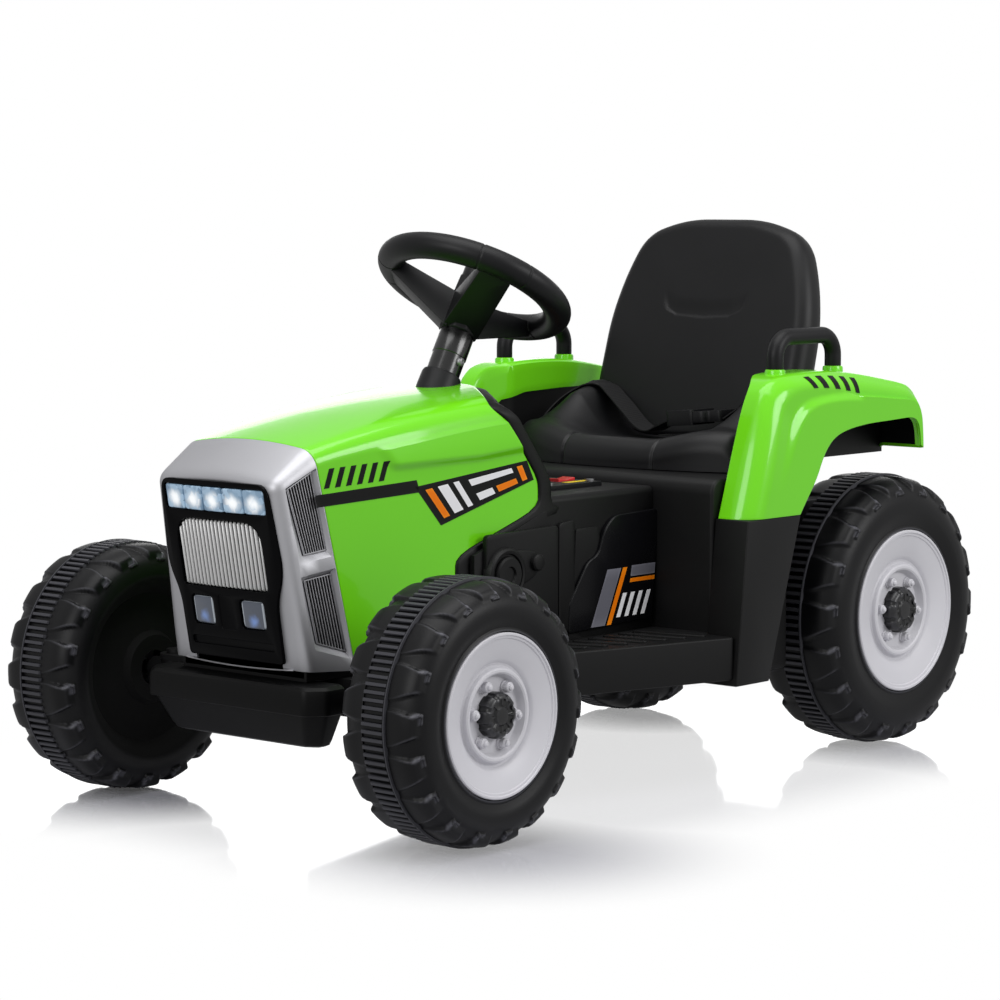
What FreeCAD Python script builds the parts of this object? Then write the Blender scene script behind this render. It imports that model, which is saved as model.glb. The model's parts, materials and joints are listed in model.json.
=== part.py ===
import FreeCAD, Part
import os
import re
import Sketcher
from FreeCAD import Placement, Rotation, Vector

# Ride-on tractor for a small child. Millimetres, +Z up, the front faces -Y and the
# driver's left is +X. The origin lies on the ground under the middle of the part.

SIZES = {
    # layout and common fits
    "wheelbase": 666,
    "overrun": 6,
    "clearance": 0.3,
    "running_fit": 0.08,
    "wall": 3,
    # wheels
    "front_tyre_radius": 115,
    "front_tyre_width": 90,
    "front_track": 420,
    "front_rim_radius": 70,
    "rear_tyre_radius": 135,
    "rear_tyre_width": 96,
    "rear_track": 312,
    "rear_rim_radius": 80,
    "tyre_wall": 3.5,
    "tread_band_width": 24,
    "tread_band_drop": 1.5,
    "lug_height": 4.5,
    "lug_width": 13,
    "lug_count": 18,
    "lug_proud": 1.5,
    "lug_shoulder_width": 9,
    "lug_fall": 13,
    "lug_reach": 22,
    "shoulder_inset": 5,
    "shoulder_drop": 5,
    "sidewall_drop": 20,
    "web_inset": 3,
    "axle_radius": 6,
    "hub_radius": 14,
    "hub_reach": 5,
    "rim_inset": 1.5,
    "rim_wall": 3,
    "rim_lip_share": 0.955,
    "rim_step_share": 0.925,
    "rim_dish_share": 0.64,
    "rim_groove_share": 0.6,
    "rim_ridge_share": 0.56,
    "rim_crest_share": 0.5,
    "rim_floor_share": 0.46,
    "rim_lip_step": 2,
    "rim_dish_depth": 9,
    "rim_groove_depth": 11,
    "rim_ridge_depth": 6,
    "rim_floor_depth": 13,
    "rim_skirt_depth": 8,
    "stud_count": 6,
    "stud_circle_share": 0.39,
    "stud_radius": 4,
    "stud_height": 6,
    "cap_radius": 19,
    "cap_bore_radius": 11,
    "cap_height": 14,
    "cap_wall": 3,
    "cap_bevel": 4,
    "cap_notch_radius": 3.5,
    "axle_end_gap": 1,
    # front suspension and steering linkage
    "kingpin_spread": 280,
    "kingpin_radius": 5,
    "kingpin_head_radius": 9,
    "kingpin_head_height": 4,
    "knuckle_radius": 13,
    "knuckle_height": 22,
    "beam_depth": 30,
    "beam_ear_thickness": 5,
    "stub_collar_radius": 11,
    "knuckle_arm_length": 60,
    "knuckle_arm_width": 16,
    "knuckle_arm_thickness": 7,
    "link_pin_radius": 4,
    "link_pin_play": 1.2,
    "tie_rod_width": 16,
    "tie_rod_thickness": 6,
    "tie_tab_width": 36,
    "crank_pin_gap": 22.1,
    "column_angle": 60.8,
    "steering_lock": 45,
    "wheel_lock": 20,
    # steering wheel and column: the wheel's height is taken above the cowl's crown
    "steering_wheel_height": 83.7,
    "steering_rim_radius": 81,
    "steering_tube_radius": 13,
    "spoke_width": 34,
    "spoke_thickness": 12,
    "spoke_lift": 10,
    "hub_block_width": 52,
    "hub_block_depth": 50,
    "hub_block_drop": 24,
    "hub_block_rise": 6,
    "pad_height": 16,
    "pad_edge": 6,
    "horn_radius": 12,
    "horn_height": 7,
    "horn_travel": 2.5,
    "sleeve_radius": 16,
    "sleeve_foot_rise": 1.65,
    "steering_rod_radius": 6,
    "crank_thickness": 6,
    "crank_width": 14,
    "crank_lift": 7.2,
    "crank_end": 5,
    "bolt_radius": 3,
    "bolt_head_radius": 5.5,
    "bolt_head_height": 4,
    "bolt_drop_share": 0.82,
    "collar_width": 5,
    "collar_height": 14,
    # nose frame and bumper
    "nose_front": 62,
    "nose_frame_half_width": 76,
    "nose_depth": 16,
    "bumper_front": 76,
    "bumper_back": 38,
    "bumper_half_width": 100,
    "bumper_foot": 75,
    "bumper_slope": 22,
    "bumper_corner": 18,
    # bonnet: fascia, hood and cowl
    "bonnet_crown": 5,
    "bonnet_back": 260,
    "nose_half_width": 72,
    "fascia_half_width": 79,
    "middle_half_width": 88,
    "cowl_half_width": 97,
    "nose_top": 305,
    "fascia_top": 336,
    "middle_top": 359,
    "cowl_top": 376,
    "nose_shoulder": 16,
    "bonnet_shoulder": 24,
    "bonnet_middle": 70,
    "fascia_front_foot": 67,
    "fascia_front_top": 81,
    "fascia_back_top": 47,
    "fascia_back_foot": 1,
    "hood_top_back": 214,
    "hood_bulge_back": 229,
    "hood_bulge_top": 287,
    "hood_bulge_foot": 262,
    "hood_notch_back": 122,
    "hood_notch_top": 226,
    "hood_corner_back": 171,
    "hood_corner_top": 368,
    "hood_corner_half_width": 85,
    "hood_ridge_half_width": 30,
    "cowl_band": 17,
    "mask_half_width": 64,
    "mask_waist_half_width": 52,
    "mask_foot_half_width": 58,
    "mask_foot": 156,
    "mask_waist": 224,
    "mask_shoulder": 268,
    "mask_top": 303,
    "mask_proud": 3,
    "mask_thickness": 7,
    "grille_half_width": 51,
    "grille_foot_half_width": 44,
    "grille_top": 269,
    "grille_foot": 210,
    "grille_sink": 1,
    "grille_bar_count": 19,
    "grille_bar_gap_share": 0.42,
    "grille_bar_depth": 4,
    "lens_width": 22,
    "lens_height": 21,
    "lens_pitch": 25,
    "lens_centre": 288,
    "lens_sink": 1.5,
    "lower_lamp_width": 25,
    "lower_lamp_height": 26,
    "lower_lamp_spread": 61,
    "lower_lamp_centre": 189,
    "vent_inset": 2,
    "vent_wall": 3,
    "vent_border": 4,
    "vent_width": 33,
    "vent_top": 306,
    "vent_split_top": 243,
    "vent_split_foot": 220,
    "vent_foot": 158,
    # lower body
    "tunnel_half_width": 98,
    "deck_height": 271,
    "tunnel_edge": 6,
    "underpan_foot": 97,
    "underpan_thickness": 4,
    "engine_cover_thickness": 3,
    "engine_cover_front": 146,
    "engine_cover_back": 262,
    "engine_cover_foot": 142,
    "engine_cover_top": 246,
    "engine_cover_front_top": 216,
    "engine_cover_slant": 24,
    "engine_boss_back": 181,
    "engine_boss_height": 196,
    "engine_boss_radius": 24,
    "engine_boss_rise": 6,
    "footboard_top": 139,
    "footboard_depth": 42,
    "footboard_wall": 4,
    "footboard_front": 158,
    "footboard_front_width": 50,
    "footboard_back_width": 108,
    "tread_rib_count": 5,
    "tread_rib_width": 5,
    "tread_rib_rise": 2,
    "tread_rib_pitch": 26,
    "tread_rib_slant": 24,
    "tread_rib_margin": 14,
    "console_half_width": 58,
    "console_front": 268,
    "console_front_half_width": 20,
    "console_back": 366,
    "console_point": 22,
    "console_thickness": 4,
    "rocker_length": 24,
    "rocker_width": 15,
    "rocker_depth": 6,
    "rocker_rise": 3,
    "rocker_dip": 1,
    "rocker_play": 1.2,
    "rocker_back": 344,
    "rocker_left": 26,
    "knob_radius": 12,
    "knob_height": 13,
    "knob_stem_radius": 4,
    "knob_left": 30,
    "screw_head_radius": 4,
    "screw_head_height": 2,
    "screw_shank_radius": 1.8,
    "screw_length": 8,
    "screw_inset": 8,
    "pedal_left": 130,
    "pedal_heel": 256,
    "pedal_length": 84,
    "pedal_width": 40,
    "pedal_thickness": 6,
    "pedal_tilt": 14,
    "pedal_base_height": 5,
    "pedal_pin_radius": 3,
    "pedal_ear_thickness": 5,
    "pedal_lift": 5,
    # seat box and its contents
    "seat_box_front": 272,
    "seat_box_foot": 91,
    "seat_box_half_width": 168,
    "seat_box_shelf": 152,
    "seat_box_top": 279,
    "seat_box_waist": 96,
    "seat_box_back": 60,
    "gearbox_width": 44,
    "gearbox_front": 70,
    "gearbox_back": 34,
    "gearbox_top": 186,
    "gearbox_boss_radius": 20,
    "motor_radius": 18,
    "motor_length": 44,
    "motor_front": 46,
    "motor_height": 162,
    "battery_front": 262,
    "battery_length": 100,
    "battery_half_width": 76,
    "battery_height": 96,
    "control_box_left": 24,
    "control_box_width": 46,
    "control_box_front": 30,
    "control_box_length": 74,
    "control_box_height": 34,
    "socket_left": 134,
    "socket_height": 205,
    "socket_radius": 11,
    "socket_flange_radius": 14,
    "socket_flange_depth": 3,
    "socket_depth": 16,
    "socket_bore_radius": 4,
    # fenders, legs and rails
    "leg_outer": 207,
    "leg_front_foot": 284,
    "leg_front_top": 266,
    "leg_back_foot": 201,
    "leg_back_top": 177,
    "leg_top": 244,
    "fender_inner": 150,
    "fender_front_top": 228,
    "fender_front_height": 360,
    "fender_crest_front": 186,
    "fender_crest_height": 377,
    "fender_tail_back": 10,
    "fender_tail_top": 352,
    "fender_tail_drop": 303,
    "fender_tail_foot": 20,
    "fender_crest_back": 62,
    "fender_skirt_foot": 300,
    "fender_bend": 26,
    "arch_front": 174,
    "arch_front_height": 257,
    "arch_middle": 87,
    "arch_middle_height": 300,
    "fender_edge": 14,
    "rail_left": 170,
    "rail_front": 178,
    "rail_back": 84,
    "rail_radius": 8,
    "rail_rise": 28,
    "rail_bend": 20,
    "rail_boss_radius": 13,
    "rail_boss_rise": 5,
    # seat and belt
    "seat_front": 196,
    "seat_step": 104,
    "seat_step_height": 20,
    "seat_tail": 52,
    "seat_tail_half_width": 110,
    "seat_half_width": 140,
    "seat_pan_height": 44,
    "seat_dish_depth": 18,
    "seat_dish_half_width": 96,
    "seat_dish_slope": 24,
    "seat_corner": 34,
    "seat_edge": 10,
    "seat_rim": 11,
    "back_foot_forward": 92,
    "back_foot_height": 326,
    "back_tilt": 21,
    "back_length": 204,
    "back_foot_half_width": 124,
    "back_waist_half_width": 112,
    "back_top_half_width": 88,
    "back_waist_share": 0.4,
    "back_thickness": 44,
    "back_corner": 44,
    "back_edge": 12,
    "back_skin": 4,
    "back_rim": 12,
    "strap_width": 25,
    "strap_thickness": 1.6,
    "strap_forward": 140,
    "strap_end": 128,
    "buckle_width": 34,
    "buckle_length": 46,
    "buckle_height": 12,
}

doc = FreeCAD.newDocument("ride_on_tractor")
sheet = doc.addObject("Spreadsheet::Sheet", "sizes")
for row, (alias, number) in enumerate(SIZES.items(), start=1):
    sheet.set(f"A{row}", alias.replace("_", " "))
    sheet.set(f"B{row}", str(number))
    sheet.setAlias(f"B{row}", alias)
doc.recompute()

X_AXIS = Vector(1, 0, 0)
Y_AXIS = Vector(0, 1, 0)
Z_AXIS = Vector(0, 0, 1)
FRONT_AXLE = "((front_tyre_radius - rear_tyre_radius - wheelbase) / 2)"
REAR_AXLE = f"({FRONT_AXLE} + wheelbase)"
NODES = {}


def size(formula):
    """The value of a formula written in the sheet's names."""
    return float(sheet.evalExpression(formula))


def cells(formula):
    """The same formula as other objects of the document write it."""
    return re.sub(r"\b[a-z][a-z_]*\b(?!\()", lambda word: "sizes." + word.group(), formula)


def front(station):
    """A place along the length, measured back from the front axle."""
    return f"({FRONT_AXLE} + ({station}))"


def rear(station):
    """A place along the length, measured forward from the rear axle."""
    return f"({REAR_AXLE} - ({station}))"


def node(name, thing):
    """Names a finished sub-part."""
    thing.Label = name
    NODES[name] = thing
    return thing


def place(thing, x="0", y="0", z="0", turn=None):
    """Sets a sub-part's place by formulas, after an optional turn."""
    if turn:
        thing.Placement = Placement(Vector(), turn)
    for axis, formula in zip("xyz", (x, y, z)):
        thing.setExpression("Placement.Base." + axis, cells(formula))
    return thing


def box(name, x, y, z):
    """A block between two formulas along each axis."""
    block = doc.addObject("Part::Box", name)
    for side, (low, high) in zip(("Length", "Width", "Height"), (x, y, z)):
        block.setExpression(side, cells(f"({high}) - ({low})"))
    return place(block, x[0], y[0], z[0])


def rod(name, radius, start, length, along):
    """A round bar from a point along a direction."""
    bar = doc.addObject("Part::Cylinder", name)
    bar.setExpression("Radius", cells(radius))
    bar.setExpression("Height", cells(length))
    return place(bar, *start, turn=Rotation(Z_AXIS, along))


def fuse(name, *pieces):
    joined = doc.addObject("Part::MultiFuse", name)
    joined.Shapes = list(pieces)
    joined.Refine = True
    return joined


def group(name, *pieces):
    """Like pieces that stay separate solids in one sub-part."""
    together = doc.addObject("Part::Compound", name)
    together.Links = list(pieces)
    return together


def cut(name, base, *tools):
    for count, tool in enumerate(tools):
        trimmed = doc.addObject("Part::Cut", f"{name}_{count}")
        trimmed.Base = base
        trimmed.Tool = tool
        base = trimmed
    return base


def common(name, base, tool):
    shared = doc.addObject("Part::Common", name)
    shared.Base = base
    shared.Tool = tool
    return shared


def mirror(name, source):
    other = doc.addObject("Part::Mirroring", name)
    other.Source = source
    other.Normal = X_AXIS
    return other


def origin(body, role):
    return next(part for part in body.Origin.OriginFeatures if part.Role == role)


def outline(body, plane, corners, turn=0):
    """A closed sketch on one of the body's own planes, each corner held by formulas."""
    sketch = body.newObject("Sketcher::SketchObject", body.Name + "_outline")
    sketch.AttachmentSupport = (origin(body, plane), [""])
    sketch.MapMode = "FlatFace"
    sketch.AttachmentOffset = Placement(Vector(), Rotation(X_AXIS, turn))
    points = [Vector(size(across), size(up), 0) for across, up in corners]
    for start, end in zip(points, points[1:] + points[:1]):
        sketch.addGeometry(Part.LineSegment(start, end), False)
    for line in range(len(points)):
        following = (line + 1) % len(points)
        sketch.addConstraint(Sketcher.Constraint("Coincident", line, 2, following, 1))
    for line, corner in enumerate(corners):
        for kind, axis, formula in zip(("DistanceX", "DistanceY"), (-2, -1), corner):
            if size(formula) == 0:
                sketch.addConstraint(Sketcher.Constraint("PointOnObject", line, 1, axis))
                continue
            held = sketch.addConstraint(Sketcher.Constraint(kind, -1, 1, line, 1, size(formula)))
            sketch.setExpression(f"Constraints[{held}]", cells(formula))
    return sketch


def prism(name, plane, corners, low, high):
    """A body padded from an outline, between two formulas along the plane's normal."""
    body = doc.addObject("PartDesign::Body", name)
    pad = body.newObject("PartDesign::Pad", name + "_pad")
    pad.Profile = outline(body, plane, corners)
    pad.setExpression("Length", cells(f"({high}) - ({low})"))
    body.Tip = pad
    if plane == "YZ_Plane":
        return place(body, x=low)
    if plane == "XY_Plane":
        return place(body, z=low)
    return place(body, y=high)


def turned(name, corners):
    """A body turned about its X axis from an outline of (along the axle, radius)."""
    body = doc.addObject("PartDesign::Body", name)
    profile = outline(body, "XZ_Plane", corners)
    spin = body.newObject("PartDesign::Revolution", name + "_turn")
    spin.Profile = profile
    spin.ReferenceAxis = (profile, ["H_Axis"])
    spin.Angle = 360
    return body


def repeat(body, feature, count):
    """Copies of a feature around the body's X axis."""
    doc.recompute()
    pattern = body.newObject("PartDesign::PolarPattern", feature.Name + "_round")
    pattern.Originals = [feature]
    pattern.Axis = (origin(body, "X_Axis"), [""])
    pattern.Angle = 360
    pattern.setExpression("Occurrences", cells(count))
    body.Tip = pattern


def ease(body, radius, chosen):
    """Rounds the chosen edges of a body."""
    doc.recompute()
    base = body.Tip
    edges = [f"Edge{count}" for count, edge in enumerate(base.Shape.Edges, 1) if chosen(edge)]
    rounding = body.newObject("PartDesign::Fillet", body.Name + "_round")
    rounding.Base = (base, edges)
    rounding.setExpression("Radius", cells(radius))
    body.Tip = rounding
    return body


def runs(edge, axis):
    """True for a straight edge along an axis."""
    return edge.Curve.TypeId == "Part::GeomLine" and abs(edge.tangentAt(edge.FirstParameter).dot(axis)) > 0.99


def rim_of(face_axis, value):
    """Chooses the edges that lie wholly at one place along an axis."""
    def chosen(edge):
        places = [getattr(corner.Point, face_axis) for corner in edge.Vertexes]
        return all(abs(spot - value) < size("clearance") for spot in places)
    return chosen


# Wheels: a hollow tyre body with lugs, a pressed rim cover and a hub cap.
def make_tyre(name, radius, width, rim_radius):
    half = f"{width} / 2"
    tread = f"({radius} - lug_height)"
    bore = "axle_radius + running_fit"
    bulge = f"({half} - lug_proud)"
    body = turned(name, [
        (f"web_inset - {half}", bore),
        (f"web_inset - {half}", f"{tread} - sidewall_drop - shoulder_drop"),
        (f"-{bulge}", f"{tread} - sidewall_drop"),
        (f"shoulder_inset - {half}", f"{tread} - shoulder_drop"),
        ("-tread_band_width / 2", tread),
        ("-tread_band_width / 2", f"{radius} - tread_band_drop"),
        ("tread_band_width / 2", f"{radius} - tread_band_drop"),
        ("tread_band_width / 2", tread),
        (f"{half} - shoulder_inset", f"{tread} - shoulder_drop"),
        (bulge, f"{tread} - sidewall_drop"),
        (f"{half} - web_inset", f"{rim_radius} + clearance"),
        (f"{half} - web_inset - tyre_wall", f"{rim_radius} + clearance"),
        (f"{bulge} - tyre_wall", f"{tread} - sidewall_drop - tyre_wall / 2"),
        (f"{half} - shoulder_inset - tyre_wall", f"{tread} - shoulder_drop - tyre_wall"),
        ("tread_band_width / 2", f"{tread} - tyre_wall"),
        ("-tread_band_width / 2", f"{tread} - tyre_wall"),
        (f"shoulder_inset - {half} + tyre_wall", f"{tread} - shoulder_drop - tyre_wall"),
        (f"tyre_wall - {bulge}", f"{tread} - sidewall_drop - tyre_wall / 2"),
        (f"web_inset - {half} + tyre_wall", f"{tread} - sidewall_drop - shoulder_drop - tyre_wall / 2"),
        (f"web_inset - {half} + tyre_wall", "hub_radius"),
        ("hub_reach", "hub_radius"),
        ("hub_reach", bore),
    ])
    # two rows of lugs, half a pitch apart, that both meet the ground at rest
    for side in (1, -1):
        lug = body.newObject("PartDesign::Pad", f"{name}_lug_{'outer' if side > 0 else 'inner'}")
        lug.Profile = outline(body, "XZ_Plane", [
            (f"{side} * tread_band_width / 2", f"{tread} - tyre_wall / 2"),
            (f"{side} * tread_band_width / 2", radius),
            (f"{side} * ({half} - lug_shoulder_width)", radius),
            (f"{side} * ({half})", f"{radius} - lug_fall"),
            (f"{side} * ({half})", f"{radius} - lug_reach"),
            (f"{side} * ({bulge} - tyre_wall / 2)", f"{radius} - lug_reach"),
            (f"{side} * ({half} - shoulder_inset - tyre_wall / 2)", f"{tread} - shoulder_drop - tyre_wall / 2"),
        ], turn=side * 90 / size("lug_count"))
        lug.setExpression("Length", cells("lug_width"))
        lug.SideType = "Symmetric"
        repeat(body, lug, "lug_count")
    return body


def make_rim(name, width, rim_radius):
    face = f"({width} / 2 - rim_inset)"
    floor = f"({face} - rim_floor_depth)"
    bore = "axle_radius + running_fit"
    body = turned(name, [
        (face, rim_radius),
        (face, f"{rim_radius} * rim_lip_share"),
        (f"{face} - rim_lip_step", f"{rim_radius} * rim_step_share"),
        (f"{face} - rim_dish_depth", f"{rim_radius} * rim_dish_share"),
        (f"{face} - rim_groove_depth", f"{rim_radius} * rim_groove_share"),
        (f"{face} - rim_ridge_depth", f"{rim_radius} * rim_ridge_share"),
        (f"{face} - rim_ridge_depth", f"{rim_radius} * rim_crest_share"),
        (floor, f"{rim_radius} * rim_floor_share"),
        (floor, bore),
        ("hub_reach", bore),
        ("hub_reach", "hub_radius"),
        (f"{floor} - rim_wall", "hub_radius"),
        (f"{floor} - rim_wall", f"{rim_radius} * rim_groove_share"),
        (f"{face} - rim_dish_depth - rim_wall", f"{rim_radius} * rim_dish_share + rim_wall"),
        (f"{face} - rim_lip_step - rim_wall", f"{rim_radius} * rim_step_share"),
        (f"{face} - rim_skirt_depth", f"{rim_radius} - rim_wall"),
        (f"{face} - rim_skirt_depth", rim_radius),
    ])
    stud = body.newObject("PartDesign::AdditiveCylinder", name + "_stud")
    stud.setExpression("Radius", cells("stud_radius"))
    stud.setExpression("Height", cells("stud_height + rim_wall / 2"))
    place(stud, f"{floor} - rim_wall / 2", "0", f"{rim_radius} * stud_circle_share", Rotation(Z_AXIS, X_AXIS))
    body.Tip = stud
    repeat(body, stud, "stud_count")
    return body


def make_cap(name, width):
    seat = f"({width} / 2 - rim_inset - rim_floor_depth)"
    body = turned(name, [
        (seat, "cap_bore_radius"),
        (seat, "cap_radius"),
        (f"{seat} + cap_height - cap_bevel", "cap_radius"),
        (f"{seat} + cap_height", "cap_radius - cap_bevel"),
        (f"{seat} + cap_height", "0"),
        (f"{seat} + cap_height - cap_wall", "0"),
        (f"{seat} + cap_height - cap_wall", "cap_bore_radius"),
    ])
    notch = body.newObject("PartDesign::SubtractiveCylinder", name + "_notch")
    notch.setExpression("Radius", cells("cap_notch_radius"))
    notch.setExpression("Height", cells("cap_height + 2 * overrun"))
    place(notch, f"{seat} - overrun", "0", "cap_radius", Rotation(Z_AXIS, X_AXIS))
    body.Tip = notch
    repeat(body, notch, "stud_count")
    return body


for end, axle in (("front", FRONT_AXLE), ("rear", REAR_AXLE)):
    radius, width, track = (f"{end}_tyre_radius", f"{end}_tyre_width", f"{end}_track")
    for side, sign, turn in (("left", "", 0), ("right", "-", 180)):
        pieces = {
            "tyre": make_tyre(f"tyre_{end}_{side}", radius, width, f"{end}_rim_radius"),
            "rim": make_rim(f"rim_{end}_{side}", width, f"{end}_rim_radius"),
            "cap": make_cap(f"hub_cap_{end}_{side}", width),
        }
        for kind, piece in pieces.items():
            place(piece, f"{sign}{track} / 2", axle, radius, Rotation(Z_AXIS, turn))
            node(("hub_cap" if kind == "cap" else kind) + f"_{end}_{side}", piece)


def axle_end(end):
    """How far from the middle an axle reaches inside its hub cap."""
    return (f"({end}_track / 2 + {end}_tyre_width / 2 - rim_inset - rim_floor_depth"
            " + cap_height - cap_wall - axle_end_gap)")


# Front axle: a beam with forked ends, the knuckles with their stub axles, and the tie rod.
KINGPIN = "(kingpin_spread / 2)"
KNUCKLE_TOP = "(front_tyre_radius + knuckle_height / 2)"
KNUCKLE_FOOT = "(front_tyre_radius - knuckle_height / 2)"
ears = []
for level, base in (("upper", f"{KNUCKLE_TOP} + clearance"),
                    ("lower", f"{KNUCKLE_FOOT} - clearance - beam_ear_thickness")):
    for sign in ("", "-"):
        ears.append(rod(f"ear_{level}", "beam_depth / 2", (f"{sign}{KINGPIN}", FRONT_AXLE, base),
                        "beam_ear_thickness", Z_AXIS))
    ears.append(box(f"ear_arm_{level}", (f"-{KINGPIN}", KINGPIN),
                    (f"{FRONT_AXLE} - beam_depth / 2", f"{FRONT_AXLE} + beam_depth / 2"),
                    (base, f"{base} + beam_ear_thickness")))
FORK_DEPTH = "(knuckle_radius + beam_depth / 2)"
beam_core = box("beam_core", (f"{FORK_DEPTH} - {KINGPIN}", f"{KINGPIN} - {FORK_DEPTH}"),
                (f"{FRONT_AXLE} - beam_depth / 2", f"{FRONT_AXLE} + beam_depth / 2"),
                (f"{KNUCKLE_FOOT} - clearance", f"{KNUCKLE_TOP} + clearance"))
beam_holes = [rod("kingpin_hole", "kingpin_radius + clearance", (f"{sign}{KINGPIN}", FRONT_AXLE, "0"),
                  "2 * front_tyre_radius", Z_AXIS) for sign in ("", "-")]
node("front_axle_beam", cut("front_axle_beam", fuse("beam_blank", beam_core, *ears), *beam_holes))

kingpins = []
for sign in ("", "-"):
    shank = rod("kingpin_shank", "kingpin_radius",
                (f"{sign}{KINGPIN}", FRONT_AXLE, f"{KNUCKLE_FOOT} - clearance - beam_ear_thickness"),
                "knuckle_height + 2 * clearance + 2 * beam_ear_thickness", Z_AXIS)
    head = rod("kingpin_head", "kingpin_head_radius",
               (f"{sign}{KINGPIN}", FRONT_AXLE, f"{KNUCKLE_TOP} + clearance + beam_ear_thickness"),
               "kingpin_head_height", Z_AXIS)
    kingpins.append(fuse("kingpin", shank, head))
node("kingpins", group("kingpins", *kingpins))

ARM_PIN_Y = f"({FRONT_AXLE} + knuckle_arm_length)"
ARM_FOOT = KNUCKLE_FOOT
TIE_ROD_TOP = f"({ARM_FOOT} - clearance)"
barrel = rod("knuckle_barrel", "knuckle_radius", (KINGPIN, FRONT_AXLE, KNUCKLE_FOOT), "knuckle_height", Z_AXIS)
stub_collar = rod("stub_collar", "stub_collar_radius", (KINGPIN, FRONT_AXLE, "front_tyre_radius"),
                  f"front_track / 2 - front_tyre_width / 2 + web_inset - {KINGPIN} - clearance", X_AXIS)
stub = rod("stub_axle", "axle_radius", (KINGPIN, FRONT_AXLE, "front_tyre_radius"),
           f"{axle_end('front')} - {KINGPIN}", X_AXIS)
arm = box("knuckle_arm", (f"{KINGPIN} - knuckle_arm_width / 2", f"{KINGPIN} + knuckle_arm_width / 2"),
          (FRONT_AXLE, f"{ARM_PIN_Y} + link_pin_radius * 2"), (ARM_FOOT, f"{ARM_FOOT} + knuckle_arm_thickness"))
arm_pin = rod("knuckle_pin", "link_pin_radius", (KINGPIN, ARM_PIN_Y, f"{TIE_ROD_TOP} - 2 * tie_rod_thickness"),
              "2 * tie_rod_thickness + clearance + knuckle_arm_thickness", Z_AXIS)
pin_bore = rod("knuckle_bore", "kingpin_radius + running_fit", (KINGPIN, FRONT_AXLE, "0"),
               "2 * front_tyre_radius", Z_AXIS)
knuckle = cut("knuckle_left", fuse("knuckle_blank", barrel, stub_collar, stub, arm, arm_pin), pin_bore)
node("knuckle_left", knuckle)
node("knuckle_right", mirror("knuckle_right", knuckle))

# Steering column, tilted back. Its own frame has the wheel's centre at the origin and the axis along Z.
TILT = Rotation(X_AXIS, size("column_angle") - 90)
COLUMN_BACK = "cos(column_angle * 1deg)"
COLUMN_RISE = "sin(column_angle * 1deg)"
WHEEL_Z = "(cowl_top + steering_wheel_height)"
CRANK_LENGTH = "(knuckle_arm_length * sin(wheel_lock * 1deg) / sin(steering_lock * 1deg))"
TIE_ROD_MIDDLE = f"({TIE_ROD_TOP} - tie_rod_thickness / 2)"
ROD_LENGTH = f"(({WHEEL_Z} - {TIE_ROD_MIDDLE} - {CRANK_LENGTH} * {COLUMN_BACK}) / {COLUMN_RISE})"
CRANK_PIN_Y = f"({ARM_PIN_Y} + crank_pin_gap)"
WHEEL_Y = f"({CRANK_PIN_Y} + {ROD_LENGTH} * {COLUMN_BACK} - {CRANK_LENGTH} * {COLUMN_RISE})"
SLEEVE_LENGTH = f"((steering_wheel_height - sleeve_foot_rise) / {COLUMN_RISE} - hub_block_drop)"
BOLT_LEVEL = f"(-hub_block_drop - bolt_drop_share * ({SLEEVE_LENGTH} - collar_height))"


def on_column(thing):
    """Carries a piece from the column's frame to its place on the tractor."""
    return place(thing, "0", WHEEL_Y, WHEEL_Z, TILT)


steering_ring = doc.addObject("Part::Torus", "steering_ring")
steering_ring.setExpression("Radius1", cells("steering_rim_radius"))
steering_ring.setExpression("Radius2", cells("steering_tube_radius"))
spokes = box("spokes", ("-steering_rim_radius", "steering_rim_radius"),
             ("-spoke_lift - spoke_width / 2", "spoke_width / 2 - spoke_lift"),
             ("-spoke_thickness / 2", "spoke_thickness / 2"))
hub_block = box("hub_block", ("-hub_block_width / 2", "hub_block_width / 2"),
                ("-hub_block_depth / 2", "hub_block_depth / 2"), ("-hub_block_drop", "hub_block_rise"))
rod_socket = rod("rod_socket", "steering_rod_radius + clearance", ("0", "0", "-hub_block_drop - overrun"),
                 "hub_block_drop + overrun", Z_AXIS)
node("steering_wheel", on_column(cut("steering_wheel", fuse("wheel_blank", steering_ring, spokes, hub_block),
                                     rod_socket)))

PAD_TOP = "(hub_block_rise + pad_height)"
pad = prism("pad_block", "XY_Plane", [
    ("-hub_block_width / 2", "-hub_block_depth / 2"), ("hub_block_width / 2", "-hub_block_depth / 2"),
    ("hub_block_width / 2", "hub_block_depth / 2"), ("-hub_block_width / 2", "hub_block_depth / 2"),
], "hub_block_rise", PAD_TOP)
ease(pad, "pad_edge", lambda edge: runs(edge, Z_AXIS))
horn_well = rod("horn_well", "horn_radius + clearance", ("0", "0", "hub_block_rise + wall"), "pad_height",
                Z_AXIS)
node("wheel_pad", on_column(cut("wheel_pad_cut", pad, horn_well)))
horn = rod("horn_plunger", "horn_radius", ("0", "0", f"{PAD_TOP} - horn_height"), "horn_height + horn_travel",
           Z_AXIS)
node("horn_button", on_column(group("horn_on_column", horn)))

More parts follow.
